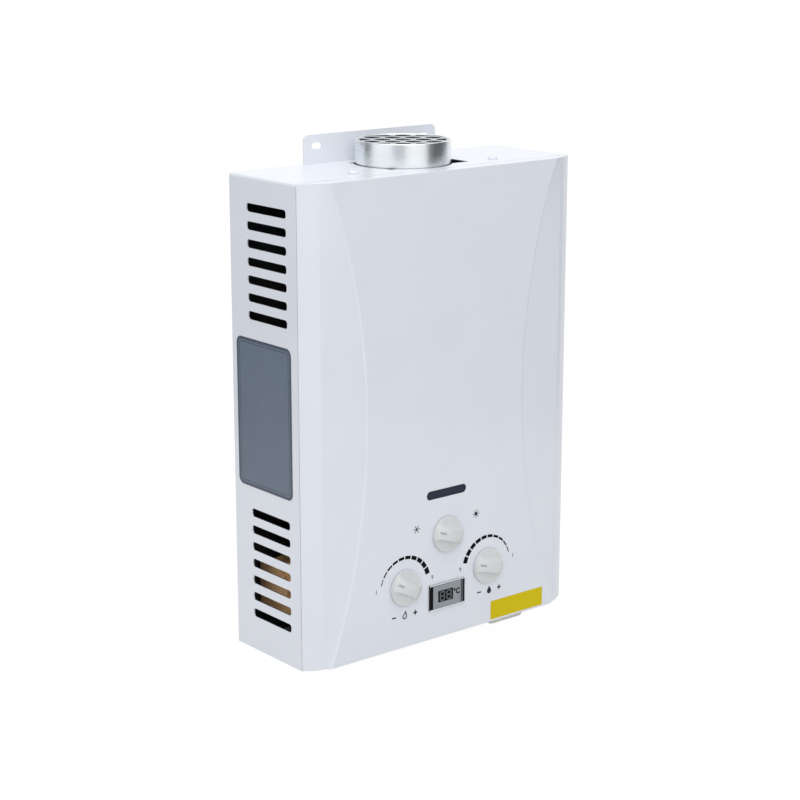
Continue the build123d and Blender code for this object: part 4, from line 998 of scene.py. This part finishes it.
@dataclass
class Controls:
    """Three knobs, their spindles and what is printed round them."""

    knob_offset: float = 46.0
    knob_height: float = 53.5
    season_height: float = 91.5

    def build(self) -> None:
        """Build the knobs, then print the dials, marks and signs."""
        left, right, height = -self.knob_offset, self.knob_offset, self.knob_height
        knobs = (
            Knob("gas", Body.GAS, left, height, pointer_deg=152.0),
            Knob("water", Body.WATER, right, height, pointer_deg=163.0),
            Knob("season", Body.SEASON, 0.0, self.season_height, pointer_deg=160.0),
        )
        for knob in knobs:
            knob.build()
        Dial("gas", left, height, thick_first=False, figures=("1", "9")).build()
        Dial("water", right, height, thick_first=True, figures=("9", "1")).build()
        for knob in knobs:
            knob.build_pointer()
        signs = (
            PrintedSign(Sign.FLAME, x=-46.0, height=28.8, size=6.8),
            PrintedSign(Sign.DROP, x=49.0, height=30.2, size=6.8),
            PrintedSign(Sign.FROST, x=-33.0, height=101.8, size=7.0),
            PrintedSign(Sign.SUN, x=33.0, height=102.4, size=7.4),
        )
        for sign in signs:
            sign.build()


@dataclass
class Readout:
    """Display: plated frame, printed face, dark window with unlit figures and the degree sign."""

    height: float = 37.4
    face_depth: float = 103.5
    face: tuple[float, float] = (38.6, 20.8)
    strip: tuple[float, float] = (33.6, 20.8)
    strip_x: float = 0.8
    film: tuple[float, float] = (30.8, 20.2)
    film_x: float = -0.6
    window: tuple[float, float] = (16.6, 10.2)
    window_x: float = -2.2
    layer_corner: float = 0.3
    digit: tuple[float, float] = (4.7, 7.6)
    digit_step: float = 7.4
    bar: float = 1.0
    bar_gap_share: float = 0.7
    sign_x: float = 10.1
    sign_rise: float = 0.8
    sign_size: float = 6.7
    sign_weight: float = 0.22
    # A face of the frame whose normal has more of X than this is a flank that takes painted dark reflection
    flank_share: float = 0.35
    # Bars of a figure, in half heights up and half widths to the right
    level_bars: tuple = ((1, 0), (0, 0), (-1, 0))
    upright_bars: tuple = ((0.5, -1), (0.5, 1), (-0.5, -1), (-0.5, 1))

    def flank(self, face: BMFace) -> int:
        """Choose the material of a face of the frame.

        Args:
            face: Face to paint.

        Returns:
            1 on the flanks at the left and right, which take painted dark reflection, or else 0.
        """
        return int(abs(face.normal.x) > self.flank_share)

    def build(self) -> None:
        """Make the frame, the layers of the face and the figures."""
        # The chrome frame's side flanks take painted dark reflection
        RoundedCopy(
            "display_bezel", Body.CASE, [CHROMED, FLANK_PAINTED_REFLECTION], edge_mm=0.15, sharp_deg=32.0, paint=self.flank
        ).build()
        dress(["display_module"], DARK)
        layers = (
            ("readout_face", self.face, 0.0, INK),
            ("readout_strip", self.strip, self.strip_x, DARK_GREY),
            ("readout_film", self.film, self.film_x, READOUT),
            ("readout_window", self.window, self.window_x, INK),
        )
        depth = self.face_depth
        for name, size, x, finish in layers:
            depth += PRINT_GAP
            film = Sheet(*size, self.layer_corner, PRINT_THICK)
            film.build(name, [finish], Body.CASE, spot(x, depth, self.height))
            depth += PRINT_THICK
        self.build_figures(depth + PRINT_GAP)
        at = spot(self.sign_x, depth, self.height + self.sign_rise)
        print_text("readout_degrees", "°C", self.sign_size, at, INK, self.sign_weight)

    def build_figures(self, depth: float) -> None:
        """Lay the seven bars of both figures on the dark window.

        Args:
            depth: Depth of the window's face.
        """
        mesh = bmesh.new()
        wide, tall = self.digit
        gap = self.bar * self.bar_gap_share
        level = Vector((wide - gap, self.bar, PRINT_THICK))
        upright = Vector((self.bar, tall / 2 - gap, PRINT_THICK))
        for place in (-self.digit_step / 2, self.digit_step / 2):
            for size, spots in ((level, self.level_bars), (upright, self.upright_bars)):
                for row, column in spots:
                    box = bmesh.ops.create_cube(mesh, size=1.0)["verts"]
                    bmesh.ops.scale(mesh, vec=size, verts=box)
                    middle = Vector((place + column * wide / 2, row * tall / 2, 0))
                    bmesh.ops.translate(mesh, vec=middle, verts=box)
        put(mesh, spot(self.window_x, depth + PRINT_THICK / 2, self.height), FACING_FRONT)
        piece_from(mesh, "readout_figures", [SEGMENT], Body.CASE)


@dataclass
class BatteryBay:
    """Battery box, its cells and the lid below the case."""

    def build(self) -> None:
        """Round the lid and the box, and dress the cells, contacts and pin."""
        RoundedCopy("battery_lid", Body.DOOR, [IVORY_PP], edge_mm=0.3).build()
        RoundedCopy("battery_box", Body.CASE, [IVORY_PP], edge_mm=0.2, segments=1).build()
        dress(["battery_cells"], SLEEVE)
        dress(["battery_contacts", "lid_pin"], STEEL)


@dataclass
class ReturnSpring:
    """Coil between the end of the gas valve, where it stays, and the poppet, which it follows."""

    ends: tuple[float, float] = (-111.2, -77.8)
    depth: float = 30.0
    height: float = 53.5
    smooth_deg: float = 50.0

    def build(self) -> None:
        """Copy the coil, shade it smooth and stand it in for the node."""
        mesh = copy_of("return_spring")
        smooth_by_angle(mesh, self.smooth_deg)
        coil = piece_from(mesh, "return_spring_finished", [STEEL])
        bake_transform(coil)
        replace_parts(coil, "return_spring")


@dataclass
class Inside:
    """Burner, heat exchanger, valves, pipes and ignition behind the cover."""

    groups: ClassVar[dict[Finish, tuple[str, ...]]] = {
        COPPER: (
            "exchanger_shell", "exchanger_fins", "exchanger_tubes",
            "chamber_coil", "cold_pipe", "hot_pipe",
        ),
        # The burner tray takes the painted shade of the closed case
        ZINC_PAINTED_SHADE: ("burner_tray",),
        BURNER: ("burner_bars",),
        CASTING: ("gas_manifold", "season_valve", "water_valve_cover"),
        CHROMATE: ("gas_valve_body", "gas_valve_cap", "gas_riser"),
        BRASS: (
            "manifold_nozzles", "water_valve_body", "gas_poppet",
            "gas_inlet", "cold_inlet", "hot_outlet", "stub_nuts",
        ),
        STEEL: ("push_rod", "switch_lever"),
        DARK: ("ignition_box", "microswitch", "thermal_cutout", "temperature_sensor", "inlet_filter"),
        GLAZED: ("spark_electrode", "flame_sensor"),
        RUBBER: ("diaphragm",),
        # The window's glass is blue-black painted shade of the chamber behind it
        WINDOW_SHADE: ("window_pane",),
    }

    def build(self) -> None:
        """Dress every piece behind the cover, and the window's glass."""
        for finish, names in self.groups.items():
            dress(names, finish)
        ReturnSpring().build()


@dataclass
class Card:
    """A card round the object that only a gloss sees."""

    name: str
    turn_deg: float
    spread_deg: float
    finish: Finish
    reach: float = 800.0
    rise: float = 1200.0

    def build(self, low: float) -> None:
        """Stand the card upright, facing the object.

        Args:
            low: Height of its lower edge in millimetres.
        """
        turn = math.radians(self.turn_deg)
        mesh = bmesh.new()
        add_panel(mesh, 2 * self.reach * math.tan(math.radians(self.spread_deg / 2)), self.rise)
        at = spot(self.reach * math.sin(turn), self.reach * math.cos(turn), low + self.rise / 2)
        put(mesh, at, Matrix.Rotation(turn, 3, "Z") @ FACING_FRONT)
        card = piece_from(mesh, self.name, [self.finish])
        card.visible_camera = False
        card.visible_diffuse = False
        card.visible_shadow = False
        card.visible_transmission = False


@dataclass
class Lamp:
    """A square softbox."""

    name: str
    stand: Vector
    aim: Vector
    size_mm: float
    watts: float

    def build(self) -> None:
        """Hang the lamp and turn it to what it lights."""
        data = bpy.data.lights.new(self.name, "AREA")
        data.shape = "SQUARE"
        data.size = self.size_mm * MM
        data.energy = self.watts
        lamp = bpy.data.objects.new(self.name, data)
        bpy.context.scene.collection.objects.link(lamp)
        lamp.location = self.stand
        lamp.rotation_mode = "QUATERNION"
        lamp.rotation_quaternion = (self.aim - self.stand).to_track_quat("-Z", "Y")


@dataclass
class Studio:
    """Camera, plain soft light, white surround, pale floor and cards."""

    lens_px: float = 1969.75
    image_px: float = 800.0
    sensor_mm: float = 36.0
    azimuth_deg: float = -39.309
    elevation_deg: float = 14.182
    stand: tuple[float, float, float] = (-1037.75, 1307.11, 609.86)
    sky_colour: str = "#F6F8FC"
    sky: float = 0.72
    white: str = "#FFFFFF"
    floor_colour: str = "#DADADA"
    floor_height: float = -19.0
    floor_half_m: float = 60.0
    floor_glow: float = 1.1
    # Share of white that the camera sees on the floor: what is left keeps a faint shadow
    floor_white_share: float = 0.88

    def build(self) -> None:
        """Set the camera, the world, the floor, the lamps and the cards."""
        self.build_camera()
        self.build_world()
        self.build_floor()
        self.build_lamps()
        self.build_cards()
        bpy.context.scene.view_settings.view_transform = "Standard"

    def build_camera(self) -> None:
        """Stand the camera where the photograph was taken from."""
        data = bpy.data.cameras.new("camera")
        data.sensor_width = self.sensor_mm
        data.lens = self.lens_px / self.image_px * data.sensor_width
        camera = bpy.data.objects.new("camera", data)
        bpy.context.scene.collection.objects.link(camera)
        turn, rise = math.radians(self.azimuth_deg), math.radians(self.elevation_deg)
        right = Vector((math.cos(turn), math.sin(turn), 0))
        back = Vector((math.sin(turn) * math.cos(rise), -math.cos(turn) * math.cos(rise), math.sin(rise)))
        axes = Matrix((right, back.cross(right), back)).transposed()
        camera.matrix_world = Matrix.Translation(spot(*self.stand)) @ axes.to_4x4()
        bpy.context.scene.camera = camera

    def seen(self, tree: NodeTree) -> NodeSocket:
        """Tell rays that are looked along from rays that only bring light.

        Args:
            tree: Node tree that takes the nodes.

        Returns:
            Socket that is 1 for rays from the camera, off a gloss or through glass.
        """
        path = add_node(tree, "ShaderNodeLightPath").outputs
        either = {0: path["Is Camera Ray"], 1: path["Is Glossy Ray"]}
        first = add_node(tree, "ShaderNodeMath", either, operation="MAXIMUM")
        through = {0: first.outputs[0], 1: path["Is Transmission Ray"]}
        return add_node(tree, "ShaderNodeMath", through, operation="MAXIMUM").outputs[0]

    def build_world(self) -> None:
        """Light the object evenly from a pale sky that shows as white."""
        world = bpy.data.worlds.new("studio")
        bpy.context.scene.world = world
        world.use_nodes = True
        tree = world.node_tree
        tree.nodes.clear()
        sky = {"Color": linear(self.sky_colour), "Strength": self.sky}
        light = add_node(tree, "ShaderNodeBackground", sky)
        white = add_node(tree, "ShaderNodeBackground", {"Color": linear(self.white), "Strength": 1.0})
        shaders = {0: self.seen(tree), 1: light.outputs[0], 2: white.outputs[0]}
        mixed = add_node(tree, "ShaderNodeMixShader", shaders)
        add_node(tree, "ShaderNodeOutputWorld", {"Surface": mixed.outputs[0]})

    def build_floor(self) -> None:
        """Lay a pale floor under the pipe stubs: it keeps a faint shadow and is clear from below."""
        mesh = bmesh.new()
        bmesh.ops.create_grid(mesh, x_segments=1, y_segments=1, size=self.floor_half_m)
        bmesh.ops.translate(mesh, vec=spot(0, 0, self.floor_height), verts=mesh.verts)
        floor = piece_from(mesh, "floor", [])
        material = bpy.data.materials.new("pale_floor")
        material.use_nodes = True
        tree = material.node_tree
        tree.nodes.clear()
        matt = add_node(tree, "ShaderNodeBsdfDiffuse", {"Color": linear(self.floor_colour)})
        glow = {"Color": linear(self.white), "Strength": self.floor_glow}
        white = add_node(tree, "ShaderNodeEmission", glow)
        factors = {0: self.seen(tree), 1: self.floor_white_share}
        share = add_node(tree, "ShaderNodeMath", factors, operation="MULTIPLY")
        shaders = {0: share.outputs[0], 1: matt.outputs[0], 2: white.outputs[0]}
        mixed = add_node(tree, "ShaderNodeMixShader", shaders)
        below = add_node(tree, "ShaderNodeNewGeometry").outputs["Backfacing"]
        clear = add_node(tree, "ShaderNodeBsdfTransparent")
        sides = {0: below, 1: mixed.outputs[0], 2: clear.outputs[0]}
        sided = add_node(tree, "ShaderNodeMixShader", sides)
        add_node(tree, "ShaderNodeOutputMaterial", {"Surface": sided.outputs[0]})
        floor.data.materials.append(material)

    def build_lamps(self) -> None:
        """Hang a broad softbox overhead and a weaker one in front on the left."""
        top, middle = spot(0, 40, 380), spot(0, 40, 200)
        Lamp("overhead", spot(-100, 300, 1900), top, size_mm=1600, watts=11.0).build()
        Lamp("front_left", spot(-1300, 1400, 1500), middle, size_mm=1000, watts=12.0).build()

    def build_cards(self) -> None:
        """Stand cards round the object, so that bright metal shows soft dark bands."""
        cards = (
            Card("card_behind", turn_deg=-144.0, spread_deg=60.0, finish=CARD),
            Card("card_front", turn_deg=-46.0, spread_deg=30.0, finish=PALE_CARD),
            Card("card_right", turn_deg=52.0, spread_deg=66.0, finish=CARD),
        )
        for card in cards:
            card.build(self.floor_height)


def main() -> None:
    """Build the heater piece by piece, then its studio."""
    logging.basicConfig(level=logging.INFO, format="%(message)s")
    for assembly in (Case(), Flue(), Controls(), Readout(), BatteryBay(), Inside(), Studio()):
        log.info("%s", type(assembly).__name__)
        assembly.build()


if __name__ == "__main__":
    main()
